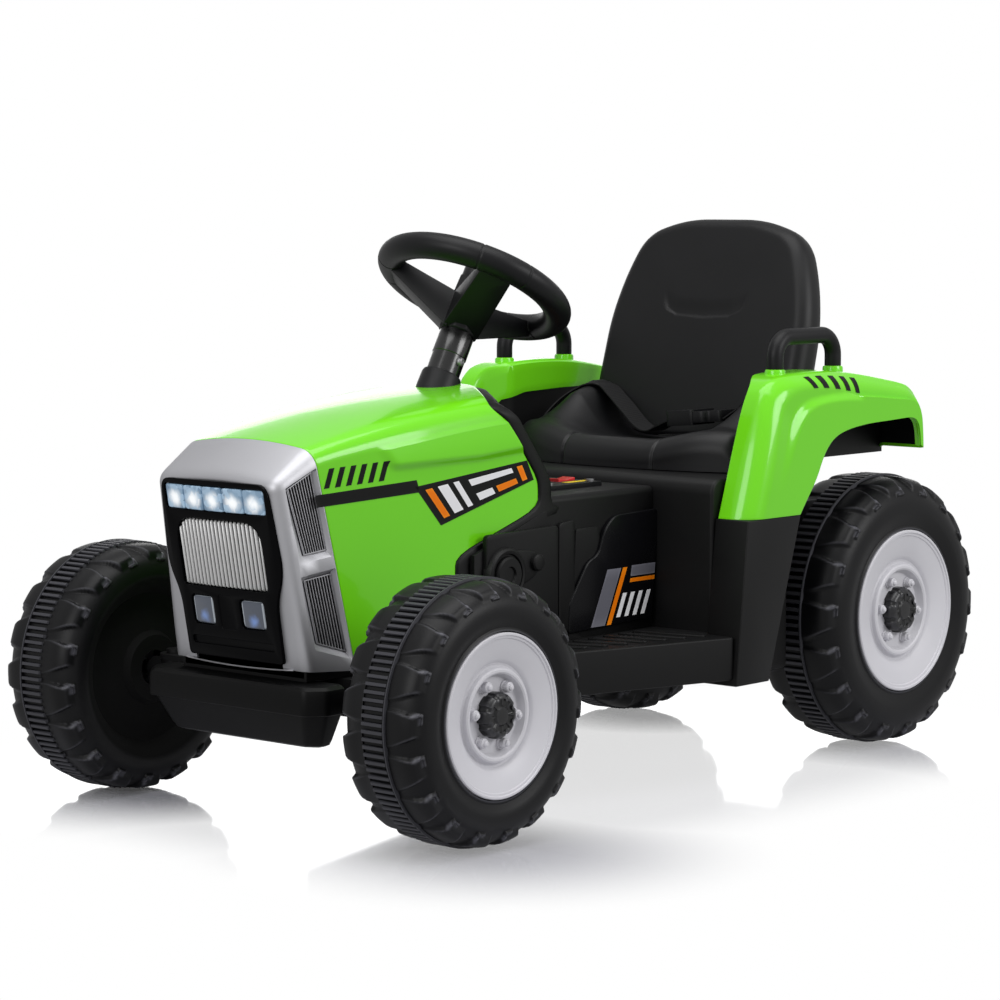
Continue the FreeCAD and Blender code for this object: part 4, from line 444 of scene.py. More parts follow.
tyre_look = Finish("tyre_plastic", specular_ior_level=0.22)
grain = tyre_look.noise(900, 3.0)
cloud = tyre_look.noise(14, 3.0)
# Sharp edges turn paler: partly wear and partly a painted highlight on the lug ends.
worn = tyre_look.worn_edge(0.51, 0.56)
dark = tyre_look.mix(cloud, tone(13, 13, 15), tone(18, 18, 20))
# Painted highlight: the hooks take the pale tone. Painted shade: the inner side wall, which faces the body,
# takes the near-black tone.
hooks = tyre_look.node("Attribute", {"attribute_name": "hook"}).part("Fac")
body = tyre_look.mix((worn * 0.5).at_least(hooks), dark, tone(84, 84, 90))
hollow = (hooks * -1).at_least(0)
tyre_look.set("Base Color", tyre_look.mix(hollow, body, tone(3, 3, 4)))
tyre_look.set("Roughness", cloud * 0.12 + hollow * 0.4 + 0.38)
tyre_look.bump(grain, 0.25, 0.0003)
for end, wheel in WHEELS.items():
    sizes = {key: wheel[key] for key in ("radius", "half", "rim")}
    shell = tyre(f"left_{end}_tyre", **sizes)
    settle(shell, on_axle(wheel), 40)
    other = right_hand(shell, wheel)
    fit(shell, f"wheel_{end}_left", "tyre_black", tyre_look, f"tyre_{end}_left")
    fit(other, f"wheel_{end}_right", "tyre_black", tyre_look, f"tyre_{end}_right")

# Rim covers and hub caps: pressed off-white discs with a stepped lip, a shallow dish, a groove and a raised
# ring round six stud heads. The black hub cap over the axle end is notched all round.
RIM_INSET, FLOOR_DEPTH = 1.5, 13
RIM_STEPS = [(0, 0.965), (1.2, 0.955), (1.4, 0.93), (2.4, 0.92), (2.7, 0.90), (4.6, 0.80), (7.2, 0.68),
             (8.4, 0.65), (10.4, 0.625), (10.8, 0.60), (9.6, 0.58), (6.4, 0.565), (5.4, 0.545), (5.4, 0.52),
             (6.4, 0.50), (11.6, 0.475), (FLOOR_DEPTH, 0.455), (FLOOR_DEPTH, 0.17)]
STUDS, STUD_TURN, STUD_CIRCLE_SHARE = 6, 24, 0.385
STUD_LINE = [(-1, 5.8), (1.2, 5.8), (1.7, 5.4), (1.7, 4.5), (6.0, 4.5), (6.9, 3.8), (6.9, 2.8), (8.4, 2.5),
             (9.2, 1.5), (9.3, 0.0)]


def lathe(name, line, turns=96):
    """A line of (along X, radius) points spun about the X axis, as on a lathe."""
    bpy.ops.mesh.primitive_plane_add(size=1, location=(0, 0, 0))
    piece = bpy.context.object
    piece.name = name
    bpy.ops.object.mode_set(mode="EDIT")
    bpy.ops.mesh.merge(type="CENTER")
    bpy.ops.transform.translate(value=(line[0][0], 0, line[0][1]))
    for before, after in zip(line, line[1:]):
        move = (after[0] - before[0], 0, after[1] - before[1])
        bpy.ops.mesh.extrude_region_move(TRANSFORM_OT_translate={"value": move})
    bpy.ops.mesh.select_all(action="SELECT")
    bpy.ops.mesh.spin(steps=turns, angle=2 * math.pi, center=(0, 0, 0), axis=(1, 0, 0))
    bpy.ops.mesh.select_all(action="SELECT")
    bpy.ops.mesh.remove_doubles(threshold=0.002)
    bpy.ops.mesh.normals_make_consistent(inside=False)
    bpy.ops.object.mode_set(mode="OBJECT")
    return piece


def rim_cover(name, half, rim):
    """The lip over the tyre, then the steps behind the face as (depth, share of the rim's radius)."""
    face = half - RIM_INSET
    line = [(face - 8, rim - 0.2), (face - 0.8, rim - 0.2), (face, rim - 1)]
    line += [(face - depth, share * rim) for depth, share in RIM_STEPS]
    return lathe(name, line, 128)


def stud(name, seat, radius):
    """A stud head: a washer, a round nut and a domed end."""
    piece = lathe(name, [(seat + rise, r) for rise, r in STUD_LINE], 18)
    piece.data.transform(Matrix.Translation((0, 0, radius)))
    return piece


def hub_cap(name, seat, scale):
    """The cap's side and face as one grid, drawn in at eight notches and ribbed on the face."""
    line = [(0.0, 19.6), (5.4, 19.8), (8.4, 19.4), (11.0, 17.6), (12.0, 16.0), (12.1, 14.4), (10.8, 13.4),
            (10.4, 9.0), (11.0, 8.2), (12.0, 7.2), (12.2, 4.0), (12.2, 0.0)]
    notches, notch_deep, rib_rise = 8, 1.5, 1.3
    rib_start, side_edge = 8.5, 13.9
    columns = spread(0, notches, notches * 16)

    def put(turn, row):
        x, r = line[row]
        spot = abs(turn % 1 - 0.5)
        notch = 1 - step(spot, 0.10, 0.18)
        r -= notch * (notch_deep if r > side_edge else 0)
        rib = 1 - step(abs((turn + 0.5) % 1 - 0.5), 0.09, 0.14)
        x += rib_rise * rib if rib_start < r < side_edge else 0
        r *= scale
        angle = turn / notches * 2 * math.pi
        return Vector((seat + x, r * math.sin(angle), r * math.cos(angle)))

    return skin(name, columns, list(range(len(line))), put, closed=True)


rim_look = Finish("rim_white_plastic", specular_ior_level=0.4)
mist = rim_look.noise(22, 3.0)
rim_look.set("Base Color", rim_look.mix(mist, tone(196, 195, 201), tone(205, 204, 209)))
rim_look.set("Roughness", mist * 0.14 + 0.34)
rim_look.bump(rim_look.noise(1100, 2.0), 0.12, 0.0002)
cap_look = Finish("cap_black", specular_ior_level=0.5)
smear = cap_look.noise(60, 4.0)
cap_look.set("Base Color", cap_look.mix(cap_look.worn_edge(0.51, 0.58), tone(16, 16, 18), tone(52, 52, 56)))
cap_look.set("Roughness", smear * 0.2 + 0.22)
for end, wheel in WHEELS.items():
    seat = wheel["half"] - RIM_INSET - FLOOR_DEPTH
    cover = rim_cover(f"left_{end}_rim", wheel["half"], wheel["rim"])
    heads = []
    for count in range(STUDS):
        head = stud("stud", seat, STUD_CIRCLE_SHARE * wheel["rim"])
        head.data.transform(Matrix.Rotation(math.radians(360 / STUDS * count + STUD_TURN), 4, "X"))
        heads.append(head)
    join(cover, *heads)
    cap = hub_cap(f"left_{end}_cap", seat, wheel["cap"])
    for piece, kind, slot, finish in ((cover, "rim", "rim_white", rim_look),
                                      (cap, "hub_cap", "black_satin", cap_look)):
        settle(piece, on_axle(wheel), 30)
        other = right_hand(piece, wheel)
        fit(piece, f"wheel_{end}_left", slot, finish, f"{kind}_{end}_left")
        fit(other, f"wheel_{end}_right", slot, finish, f"{kind}_{end}_right")

# Under the bonnet and the seat: steel beam and links, the axle, motors, gear cases, battery and control box.
# They stay as the solids made them, in plain steel, black steel and moulded cases that hardly show.
def steel_finish(name, colour, metallic, roughness):
    """Bare or blacked steel with fine drawing marks and dust."""
    look = Finish(name)
    marks = look.noise(420, 4.0, (1, 0.08, 1))
    dust = look.noise(30, 3.0)
    look.set("Base Color", look.mix(dust * 0.35, colour, tone(96, 94, 92)))
    look.set("Metallic", 1 - dust * (1.6 - metallic))
    look.set("Roughness", marks * 0.22 + roughness)
    look.bump(marks, 0.15, 0.0002)
    return look


def moulded(name, low, high, rough=0.42, sheen=0.35, grain_scale=1400, grain_depth=0.18):
    """Moulded plastic with a fine skin grain, faint clouding and paler worn edges."""
    look = Finish(name, specular_ior_level=sheen)
    clouds = look.noise(18, 3.0)
    fine = look.noise(grain_scale, 2.0)
    body = look.mix(clouds, low, high)
    pale = tuple(min(1.0, c * 2.2 + 0.012) for c in high[:3]) + (1.0,)
    look.set("Base Color", look.mix(look.worn_edge(0.52, 0.62) * 0.3, body, pale))
    look.set("Roughness", clouds * 0.14 + fine * 0.06 + rough)
    look.bump(fine, grain_depth, 0.0002)
    return look


bare_steel = steel_finish("bare_steel", tone(150, 150, 152), 0.95, 0.26)
case_grey = moulded("case_grey", tone(78, 80, 84), tone(90, 92, 96))
motor_can = steel_finish("motor_can", tone(120, 120, 124), 0.9, 0.3)
black_satin = moulded("black_satin", tone(9, 9, 10), tone(12, 12, 13), 0.40, 0.22)
black_steel = moulded("black_steel", tone(8, 8, 9), tone(11, 11, 12), 0.40, 0.2, 900, 0.1)
STAYS = {
    "front_axle_beam": black_steel, "kingpins": black_steel, "knuckle_left": black_steel,
    "knuckle_right": black_steel, "steering_rod": bare_steel, "tie_rod": black_steel,
    "rear_axle": bare_steel, "gearboxes": case_grey,
    "drive_motors": motor_can, "battery": case_grey, "control_box": case_grey, "underpan": black_satin,
    "body_screws": bare_steel, "charge_socket": black_satin,
}
for node, finish in STAYS.items():
    solid = frame["nodes"][node]
    solid.data.materials.clear()
    solid.data.materials.append(finish.material)

# Lower body: blow-moulded black plastic boxes with soft edges, screwed together from below.
# The nose tray and bumper in front, the tunnel between the feet, the seat base and the fender legs.
def softened(node, name, width, segments=3, dissolve=1.0):
    """A copy of a solid with its triangles merged into faces and its edges rounded."""
    solid = frame["nodes"][node]
    piece = bpy.data.objects.new(name, solid.data.copy())
    bpy.context.scene.collection.objects.link(piece)
    select_only(piece)
    bpy.ops.object.mode_set(mode="EDIT")
    bpy.ops.mesh.select_all(action="SELECT")
    bpy.ops.mesh.remove_doubles(threshold=1e-5)
    bpy.ops.mesh.dissolve_limited(angle_limit=math.radians(dissolve))
    bpy.ops.object.mode_set(mode="OBJECT")
    piece.data.transform(Matrix.Scale(1 / MM, 4))
    return soft(piece, width, segments, 28)


def soft(piece, width, segments=2, angle=30):
    """Rounds a piece's edges."""
    select_only(piece)
    bevel = piece.modifiers.new("soft edges", "BEVEL")
    bevel.width = width
    bevel.segments = segments
    bevel.limit_method = "ANGLE"
    bevel.angle_limit = math.radians(angle)
    bevel.use_clamp_overlap = True
    bpy.ops.object.modifier_apply(modifier=bevel.name)
    return piece


def rounded(corners, radius, count=5):
    """The outline with each corner drawn as an arc; a radius may be given for each corner."""
    line = []
    for place, corner in enumerate(corners):
        here = Vector(corner[:2])
        bend = corner[2] if len(corner) > 2 else radius
        before = (Vector(corners[place - 1][:2]) - here)
        after = (Vector(corners[(place + 1) % len(corners)][:2]) - here)
        bend = min(bend, before.length * 0.48, after.length * 0.48)
        start, end = here + before.normalized() * bend, here + after.normalized() * bend
        for k in range(count + 1):
            share = k / count
            line.append(start * (1 - share) ** 2 + here * 2 * share * (1 - share) + end * share ** 2)
    return line


def slab(name, outline, low, high):
    """A flat plate in the X-Z plane: the outline filled at low and drawn out to high along -Y."""
    bpy.ops.mesh.primitive_circle_add(vertices=len(outline), fill_type="NGON")
    piece = bpy.context.object
    piece.name = name
    for corner, spot in zip(piece.data.vertices, outline):
        corner.co = (spot[0], -low, spot[1])
    bpy.ops.object.mode_set(mode="EDIT")
    bpy.ops.mesh.select_all(action="SELECT")
    bpy.ops.mesh.extrude_region_move(TRANSFORM_OT_translate={"value": (0, low - high, 0)})
    bpy.ops.mesh.select_all(action="SELECT")
    bpy.ops.mesh.normals_make_consistent(inside=False)
    bpy.ops.object.mode_set(mode="OBJECT")
    return piece


def laid_slab(name, outline, low, high):
    """A plate drawn in plan, between two heights."""
    piece = slab(name, outline, low, high)
    piece.data.transform(Matrix.Rotation(math.radians(-90), 4, "X"))
    return piece


def side_slab(name, outline, low, high):
    """A plate drawn as (station, height) on the left side, between two distances from the middle."""
    piece = slab(name, outline, low, high)
    piece.data.transform(Matrix.Translation((0, FRONT_AXLE_Y, 0)) @ Matrix.Rotation(math.radians(90), 4, "Z"))
    return piece


def both_sides(piece):
    """The piece joined to its mirror image on the right."""
    return join(piece, twin(piece, piece.name, Matrix.Scale(-1, 4, (1, 0, 0))))


TRAY_FRONT = -52
tray = softened("nose_frame", "nose_tray", 2.0)
for corner in tray.data.vertices:
    corner.co.y = max(corner.co.y, FRONT_AXLE_Y + TRAY_FRONT)
settle(tray)
fit(tray, "chassis", "black_satin", black_satin, "nose_frame")

BUMPER_HALF, BUMPER_BACK, BUMPER_FRONT = 109, -38, -76
FLAT_HALF, CHAMFER_START = 95, -60
BUMPER_ROWS = [(131.0, 100, 38), (131.0, 8, 7), (130.3, 4, 3.5), (127.8, 1.2, 1.0), (124, 0, 0), (108, 0, 0),
               (106.8, 0.4, 0.4), (106.2, 1.2, 1.2), (105.9, 4.6, 4.6), (104, 5.4, 5.4), (82, 16, 16),
               (77.5, 19, 19), (75.5, 24, 23), (75, 40, 30), (75, 100, 38)]
bumper_plan = rounded([(BUMPER_HALF, BUMPER_BACK, 2), (BUMPER_HALF, CHAMFER_START, 4),
                       (FLAT_HALF, BUMPER_FRONT, 4), (-FLAT_HALF, BUMPER_FRONT, 4),
                       (-BUMPER_HALF, CHAMFER_START, 4), (-BUMPER_HALF, BUMPER_BACK, 2)], 2, 5)


def bumper_place(turn, row):
    """The plan drawn in at each row of (height, in from the sides, in from the front)."""
    x, station = bumper_plan[turn % len(bumper_plan)]
    z, in_x, in_y = BUMPER_ROWS[row]
    back = (BUMPER_BACK - station) / (BUMPER_BACK - BUMPER_FRONT)
    return Vector((x * (1 - in_x / BUMPER_HALF), station + in_y * back + FRONT_AXLE_Y, z))


bumper_turns = list(range(len(bumper_plan) + 1))
bumper = skin("bumper_cover", bumper_turns, list(range(len(BUMPER_ROWS))), bumper_place, closed=True)
settle(bumper, None, 26)
# A darker copy of the black plastic, as painted shade: on the bumper under the nose, and on the vent plates
# between the fins.
shaded_black = moulded("shaded_black", tone(5, 5, 6), tone(8, 8, 9), 0.36, 0.14)
fit(bumper, "chassis", "black_satin", shaded_black, "front_bumper")

BASE_HALF = 168
base_side = rounded([(394, 91, 6), (514, 91, 6), (514, 279, 4), (394, 281, 15)], 6, 7)
base = side_slab("seat_base", base_side, -BASE_HALF, BASE_HALF)
soft(base, 4, 3)
WAIST_FOOT, WAIST_START, WAIST_END, REAR_HEIGHT_SHARE = 97, 165, 383, 0.55
waist_front = rounded([(-96, WAIST_FOOT, 6), (96, WAIST_FOOT, 6), (96, 234, 18), (64, 277, 12),
                       (-64, 277, 12), (-96, 234, 18)], 6, 4)
waist = slab("waist", waist_front, -WAIST_END, -WAIST_START)
for corner in waist.data.vertices:
    if corner.co.y > (WAIST_START + WAIST_END) / 2:
        corner.co.z = WAIST_FOOT + (corner.co.z - WAIST_FOOT) * REAR_HEIGHT_SHARE
soft(waist, 5, 3)
join(base, waist)
settle(base)
fit(base, "chassis", "black_satin", black_satin, "seat_box")
SHELL_EDGE = 5.0
LEG_FRONT, LEG_REAR = 39, 146
LEG_FOOT, REAR_AT_FOOT, LEG_SLANT = 94, 105, 0.22
tunnel = softened("tunnel_cover", "tunnel_shell", SHELL_EDGE, 4)
legs = softened("fender_legs", "leg_covers", SHELL_EDGE, 4)
for corner in legs.data.vertices:
    rear = REAR_AT_FOOT + (corner.co.z - LEG_FOOT) * LEG_SLANT
    corner.co.y = LEG_FRONT + (corner.co.y - LEG_FRONT) * (rear - LEG_FRONT) / (LEG_REAR - LEG_FRONT)
for piece, node in ((tunnel, "tunnel_cover"), (legs, "fender_legs")):
    settle(piece)
    fit(piece, "chassis", "black_satin", black_satin, node)

# Footboards: black moulded steps beside the tunnel, rounded along the outside, with slanted grip bars.
# The foot pedal stands on the right one in its bracket.
BOARD_FOOT, BOARD_TOP, BAR_RISE = 97, 137, 2.0
BARS_START, BARS_PITCH, GRIP_BARS, BAR_INNER = -128, 22, 7, 110
board_plan = rounded([(92, -185, 2), (140, -185, 30), (203.6, 42, 7), (172, 42, 2), (172, 56, 2),
                      (92, 56, 2)], 4, 6)
board = laid_slab("left_footboard", board_plan, BOARD_FOOT, BOARD_TOP)
soft(board, 9, 6)
bars = []
for count in range(GRIP_BARS):
    y = BARS_START + BARS_PITCH * count
    wide = 148 + 0.25 * (y - BARS_START)
    bar_plan = rounded([(BAR_INNER, y, 3), (wide, y + 16, 3), (wide, y + 24, 3), (BAR_INNER, y + 8, 3)], 3, 3)
    bar = laid_slab("grip_bar", bar_plan, BOARD_TOP - 1, BOARD_TOP + BAR_RISE)
    bars.append(soft(bar, 1.2, 2))
join(board, *bars)
settle(board)
other_board = twin(board, "right_footboard", Matrix.Scale(-1, 4, (1, 0, 0)))
fit(board, "chassis", "black_satin", black_satin, "footboard_left")
fit(other_board, "chassis", "black_satin", black_satin, "footboard_right")
for node, name, width in (("pedal_base", "pedal_bracket", 1.0), ("foot_pedal", "pedal_plate", 1.2)):
    piece = softened(node, name, width)
    settle(piece)
    fit(piece, frame["nodes"][node]["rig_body"], "black_satin", black_satin, node)

# Engine sides: shallow black mouldings on both sides of the tunnel: three upright blocks, a ringed boss with
# an arm to a small knob, and a glossy panel with a cut corner. They are screwed on from inside.
SIDE_WALL, BOSS_OUT = 97.5, 1.6
ENGINE_BLOCKS = [
    ("engine_sides", [(150, 146, 4), (249, 146, 4), (249, 245, 5), (150, 243, 5)], 3, 103.5),
    ("block", [(251.5, 146, 3), (274, 146, 3), (274, 248, 5), (251.5, 246, 5)], 3, 102.0),
    ("block", [(274, 146, 1), (318, 146, 1), (312, 239, 4), (278, 239, 4)], 3, 99.6),
    ("arm", [(176, 228, 6), (172, 186, 6), (212, 200, 8), (222, 208, 7), (220, 222, 7), (208, 226, 7)],
     4, 105.5),
]
RINGED_BOSS = [(98, 0), (98, 25), (104, 25), (106, 24), (107, 22), (106.4, 19.5), (104.5, 18.5),
               (104.5, 17.2), (107.5, 16.6), (109, 15), (109, 8), (107, 7), (107, 0)]
SMALL_KNOB = [(98, 0), (98, 8), (107, 7.6), (108.4, 6.4), (109, 4), (109, 0)]
blocks = []
for name, outline, arc_steps, face in ENGINE_BLOCKS:
    blocks.append(soft(side_slab(name, rounded(outline, 4, arc_steps), SIDE_WALL, face), 1.6, 3))
for station, z, line in ((174, 206, RINGED_BOSS), (215, 214, SMALL_KNOB)):
    boss = lathe("boss", line, 48)
    boss.data.transform(Matrix.Translation((BOSS_OUT, station + FRONT_AXLE_Y, z)))
    blocks.append(boss)
sides = both_sides(join(*blocks))
settle(sides)
fit(sides, "chassis", "black_satin", black_satin, "engine_covers")
PANEL_FACE = 103.0
panel_side = rounded([(264, 143, 4), (387, 147, 6), (397, 250, 7), (331, 248, 8), (317, 237, 8),
                      (307, 213, 8), (292, 208, 8), (266, 172, 5)], 6, 5)
gloss_panel = side_slab("side_panels", panel_side, SIDE_WALL, PANEL_FACE)
soft(gloss_panel, 1.2, 3)
both_sides(gloss_panel)
settle(gloss_panel)
black_gloss = moulded("black_gloss", tone(9, 9, 11), tone(12, 12, 14), 0.13, 0.06, 500, 0.02)
# A lighter copy of the glossy black on the side panels, as painted light.
lit_gloss_black = moulded("lit_gloss_black", tone(16, 16, 18), tone(20, 20, 22), 0.16, 0.14, 500, 0.02)
fit(gloss_panel, "chassis", "black_gloss", lit_gloss_black)

# Console: a flat black plate on the tunnel's deck with a red rocker, a round selector and a yellow mark.
# The rocker tips and the selector turns in the plate.
soft_black = moulded("soft_black", tone(15, 15, 17), tone(20, 20, 22), 0.34, 0.24, 1800, 0.12)
switch_red = moulded("switch_red", tone(196, 44, 46), tone(208, 54, 54), 0.22, 0.5, 900, 0.05)
for node, name, width, slot, finish in (
        ("console_panel", "console_plate", 0.8, "black_satin", soft_black),
        ("power_rocker", "rocker_key", 0.6, "switch_red", switch_red),
        ("direction_knob", "selector_knob", 1.0, "black_satin", soft_black)):
    piece = softened(node, name, width)
    settle(piece)
    fit(piece, frame["nodes"][node]["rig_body"], slot, finish, node)
mark_plan = rounded([(41, -16, 1), (47, -14, 1), (47, 16, 1), (41, 18, 1)], 1, 2)
MARK_FOOT, MARK_TOP = 274.8, 275.4
mark = laid_slab("console_mark", mark_plan, MARK_FOOT, MARK_TOP)
settle(mark)
yellow_film = moulded("yellow_film", tone(226, 178, 20), tone(236, 188, 28), 0.35, 0.4)
fit(mark, "chassis", None, yellow_film)

# Bonnet: one glossy green shell with round shoulders and a crowned top, drawn out at the rear half of each
# side. A black band lines its rear edge and a black plate closes the opening there. All are moulded, and the
# shell drops over the nose tray.
FOOT, CROWN = 147.3, 5.0
SEAM_START, SEAM_RUN, SEAM_HIGH = -1, 46, 188.7
BENDS = [(-47, 16), (60, 24), (300, 24)]
HALF_WIDTHS = [(-90, 75.7), (-47, 79), (70, 88), (260, 97), (300, 99)]
CRESTS = [(-90, 324), (-47, 336), (12, 349), (70, 359), (140, 367), (260, 376), (300, 378)]
REAR_EDGE = [(140, 122), (226, 122), (262, 229), (287, 229), (366, 171), (400, 171)]
TOP_EDGE = [(0, 214), (30, 214), (85, 171), (120, 171)]


def smooth_between(points, value, reach):
    """The broken line again, with its corners eased over a reach."""
    return sum(between(points, value + reach * (k - 3) / 3) for k in range(7)) / 7


def seam_station(z):
    """Where the bonnet meets the fascia, on a line that leans forwards."""
    return SEAM_START - (z - FOOT) * SEAM_RUN / SEAM_HIGH


def rear_station(x, z, top):
    """Where the bonnet ends: along the cut of its side, or over the top where top is past 1."""
    if top < 1:
        return smooth_between(REAR_EDGE, z, 7)
    side = smooth_between(REAR_EDGE, min(z, 366), 7)
    over = smooth_between(TOP_EDGE, abs(x), 10)
    share = step(top, 1.0, 1.7)
    return side * (1 - share) + over * share


def section(station, u):
    """A place on the bonnet's section: u 0-1 up the side, 1-2 round the shoulder, 2-3 over to the middle."""
    half = smooth_between(HALF_WIDTHS, station, 30)
    edge = smooth_between(CRESTS, station, 30) - CROWN
    bend = smooth_between(BENDS, station, 30)
    if u <= 1:
        return half, FOOT + (edge - bend - FOOT) * u, 0.0
    lean = math.atan(2 * CROWN / (half - bend))
    angle = min(u - 1, 1) * (math.pi / 2 - lean)
    x, z = half - bend + bend * math.cos(angle), edge - bend + bend * math.sin(angle)
    if u <= 2:
        return x, z, angle
    inner = x * (3 - u)
    crest = x * math.tan(lean) / 2
    return inner, z + crest * (1 - (inner / x) ** 2), math.pi / 2 - math.atan(2 * crest * inner / x ** 2)


PANEL_RISE = 3.6
PANEL_FOOT_LINE = [(40, 308), (153, 310), (240, 317)]


def drawn_out(station, z, u):
    """How far the rear half of the side panel stands out."""
    lower = between(PANEL_FOOT_LINE, station)
    front_line = 46 - (z - 308) * 27 / 33
    mask = step(z, lower - 3, lower + 6) * step(station, front_line - 6, front_line + 9)
    return PANEL_RISE * mask * (1 - step(u, 0.88, 1.1))


def bonnet_place(u, v, beyond=0.0, proud=0.0):
    """A place on the bonnet: u over the section (negative on the right), v from the seam to the rear edge."""
    side, u = (1, u) if u >= 0 else (-1, -u)
    station = 60.0
    for _ in range(14):
        x, z, angle = section(station, u)
        low = seam_station(z) + 0.6
        high = rear_station(x, z, u)
        station = low + (high - low) * v + beyond
    x, z, angle = section(station, u)
    rise = drawn_out(station, z, u) * (0 if beyond else 1) + proud
    return Vector((side * (x + rise * math.cos(angle)), station + FRONT_AXLE_Y, z + rise * math.sin(angle)))


def wall(piece, thickness, rim=0.0, segments=2, even=True):
    """Gives an open skin its wall inwards and softens the cut edges."""
    select_only(piece)
    bpy.ops.object.mode_set(mode="EDIT")
    bpy.ops.mesh.select_all(action="SELECT")
    bpy.ops.mesh.remove_doubles(threshold=0.003)
    bpy.ops.mesh.normals_make_consistent(inside=False)
    bpy.ops.object.mode_set(mode="OBJECT")
    shell = piece.modifiers.new("wall", "SOLIDIFY")
    shell.thickness = thickness
    shell.offset = -1
    shell.use_even_offset = even
    bpy.ops.object.modifier_apply(modifier=shell.name)
    if rim:
        bevel = piece.modifiers.new("rim", "BEVEL")
        bevel.width = rim
        bevel.segments = segments
        bevel.limit_method = "ANGLE"
        bevel.angle_limit = math.radians(50)
        bpy.ops.object.modifier_apply(modifier=bevel.name)
    return piece


half_line = spread(0, 0.74, 30) + spread(0.74, 1, 44)[1:] + spread(1, 2, 14)[1:] + spread(2, 3, 18)[1:]
# the two halves meet over the crown, where u is 3 on the left and -3 on the right
over = half_line + [-max(u, 1e-6) for u in reversed(half_line[:-1])]
hood = skin("bonnet_shell", over, spread(0, 1, 84), bonnet_place)
wall(hood, 3.0, 0.8)

green_look = Finish("green_gloss", coat_weight=0.4, coat_roughness=0.05, specular_ior_level=0.3)
flow = green_look.noise(6, 3.0)
orange_peel = green_look.noise(240, 2.0)
green_look.set("Base Color", green_look.mix(flow, tone(104, 202, 24), tone(111, 208, 30)))
green_look.set("Roughness", flow * 0.06 + 0.21)
green_look.bump(orange_peel, 0.03, 0.0004)
settle(hood, None, 30)
fit(hood, "chassis", "green_gloss", green_look, "hood")

BAND_LINE = [(0.4, -2.5), (0.4, 0.4), (1.2, 1.4), (3.0, 2.0), (13.5, 2.0), (15.8, 1.4), (16.9, 0.2),
             (17.0, -2.5)]


def band_place(u, row):
    """The band's section beyond the rear edge, wider in the hollow of the side and sunk on top."""
    beyond, proud = BAND_LINE[row]
    z = bonnet_place(u, 1.0).z
    beyond *= 1 + 1.7 * step(z, 220, 232) * (1 - step(z, 254, 268))
    return bonnet_place(u, 1.0, beyond, proud - 6.5 * step(abs(u), 1.2, 1.9))


band = skin("cowl_band", over, list(range(len(BAND_LINE))), band_place)
settle(band, None, 40)
fit(band, "chassis", "black_satin", black_satin)
PLATE_WIDTH_SHARE, PLATE_HEIGHT_SHARE = 0.975, 0.965
plate = softened("cowl_trim", "cowl_plate", 0.8)
for corner in plate.data.vertices:
    corner.co.x *= PLATE_WIDTH_SHARE
    corner.co.z = FOOT + (corner.co.z - FOOT) * PLATE_HEIGHT_SHARE
settle(plate)
fit(plate, "chassis", "black_satin", black_satin, "cowl_trim")

# Fascia: a silver surround in one moulding that closes the bonnet's front like an upturned U.
# Its sides are sunk where the vent plates sit, and a thin sill runs under the mask.
NOSE_EDGE, NOSE_BEND, SEAM_EDGE = 303.0, 9.0, 331.0
LONG_ROWS = [(141, 136.5), (163, 146), (170, 152.5), (193, 188), (217, 223), (221, 227.5), (232, 238),
             (238, 243.5), (264, 277), (290.5, 312.5), (294, 314.8)]
PLATE_FRONT = [(0, 0.40), (2, 0.35), (4, 0.33), (5.5, 0.40), (7, 0.43), (9, 0.32), (10, 0.32)]
NOSE_HALF = [(140, 83), (186, 80.5), (220, 78), (272, 75), (303, 73)]
UNDER_MASK = [(140, 53), (146, 53.5), (200, 54.5), (224, 66), (268, 62), (310, 59)]
SUNK_ROWS = (2, 3, 4, 7, 8, 9)
SINK = 6.0
CORNER_RUN, VENT_MARGIN = 11.0, 3.2
NOSE_START, NOSE_RUN, NOSE_HIGH = -58, 29, 157.7
FASCIA_ROWS = [0, 1, 2, 2.5, 3, 4, 5, 6, 7, 8, 9, 10, 11, 12]


def nose_station(z):
    """The fascia's front, on a line that leans forwards."""
    return NOSE_START - (z - FOOT) * NOSE_RUN / NOSE_HIGH


def nose_point(u):
    """The fascia's front corner line: up the side, round the corner, over the top."""
    if u <= 10:
        first = min(int(u), 9)
        z = LONG_ROWS[first][0] + (LONG_ROWS[first + 1][0] - LONG_ROWS[first][0]) * (u - first)
        return Vector((smooth_between(NOSE_HALF, z, 12), nose_station(z), z))
    half = smooth_between(NOSE_HALF, NOSE_EDGE - NOSE_BEND, 12)
    if u <= 11:
        angle = (u - 10) * math.pi / 2
        z = NOSE_EDGE - NOSE_BEND + NOSE_BEND * math.sin(angle)
        return Vector((half - NOSE_BEND + NOSE_BEND * math.cos(angle), nose_station(z), z))
    x = (half - NOSE_BEND) * (12 - u)
    z = NOSE_EDGE + 4 * (1 - (x / (half - NOSE_BEND)) ** 2)
    return Vector((x, nose_station(z), z))


def seam_point(u):
    """The fascia's rear edge along the seam with the bonnet."""
    if u <= 10:
        first = min(int(u), 9)
        z = LONG_ROWS[first][1] + (LONG_ROWS[first + 1][1] - LONG_ROWS[first][1]) * (u - first)
        station = seam_station(z)
        return Vector((smooth_between(HALF_WIDTHS, station, 30) + (0.6 if z < FOOT else 0.1), station, z))
    station = seam_station(SEAM_EDGE)
    for _ in range(6):
        x, z, angle = section(station, u - 9)
        station = seam_station(z)
    return Vector((x, station, z))


def mask_point(u):
    """Where the fascia's front goes in under the mask."""
    front = nose_point(u)
    if u <= 10:
        return Vector((between(UNDER_MASK, front.z), nose_station(front.z), front.z))
    if u <= 11:
        share = u - 10
        return Vector((UNDER_MASK[-1][1] - 4 * share, nose_station(297), 294 + 5 * share))
    return Vector(((UNDER_MASK[-1][1] - 4) * (12 - u), nose_station(300), 299 + 3 * (1 - (12 - u) ** 2)))


def fascia_side(u, share):
    """A place on the fascia's side, share 0 at the front corner and 1 at the seam."""
    return nose_point(u).lerp(seam_point(u), share)


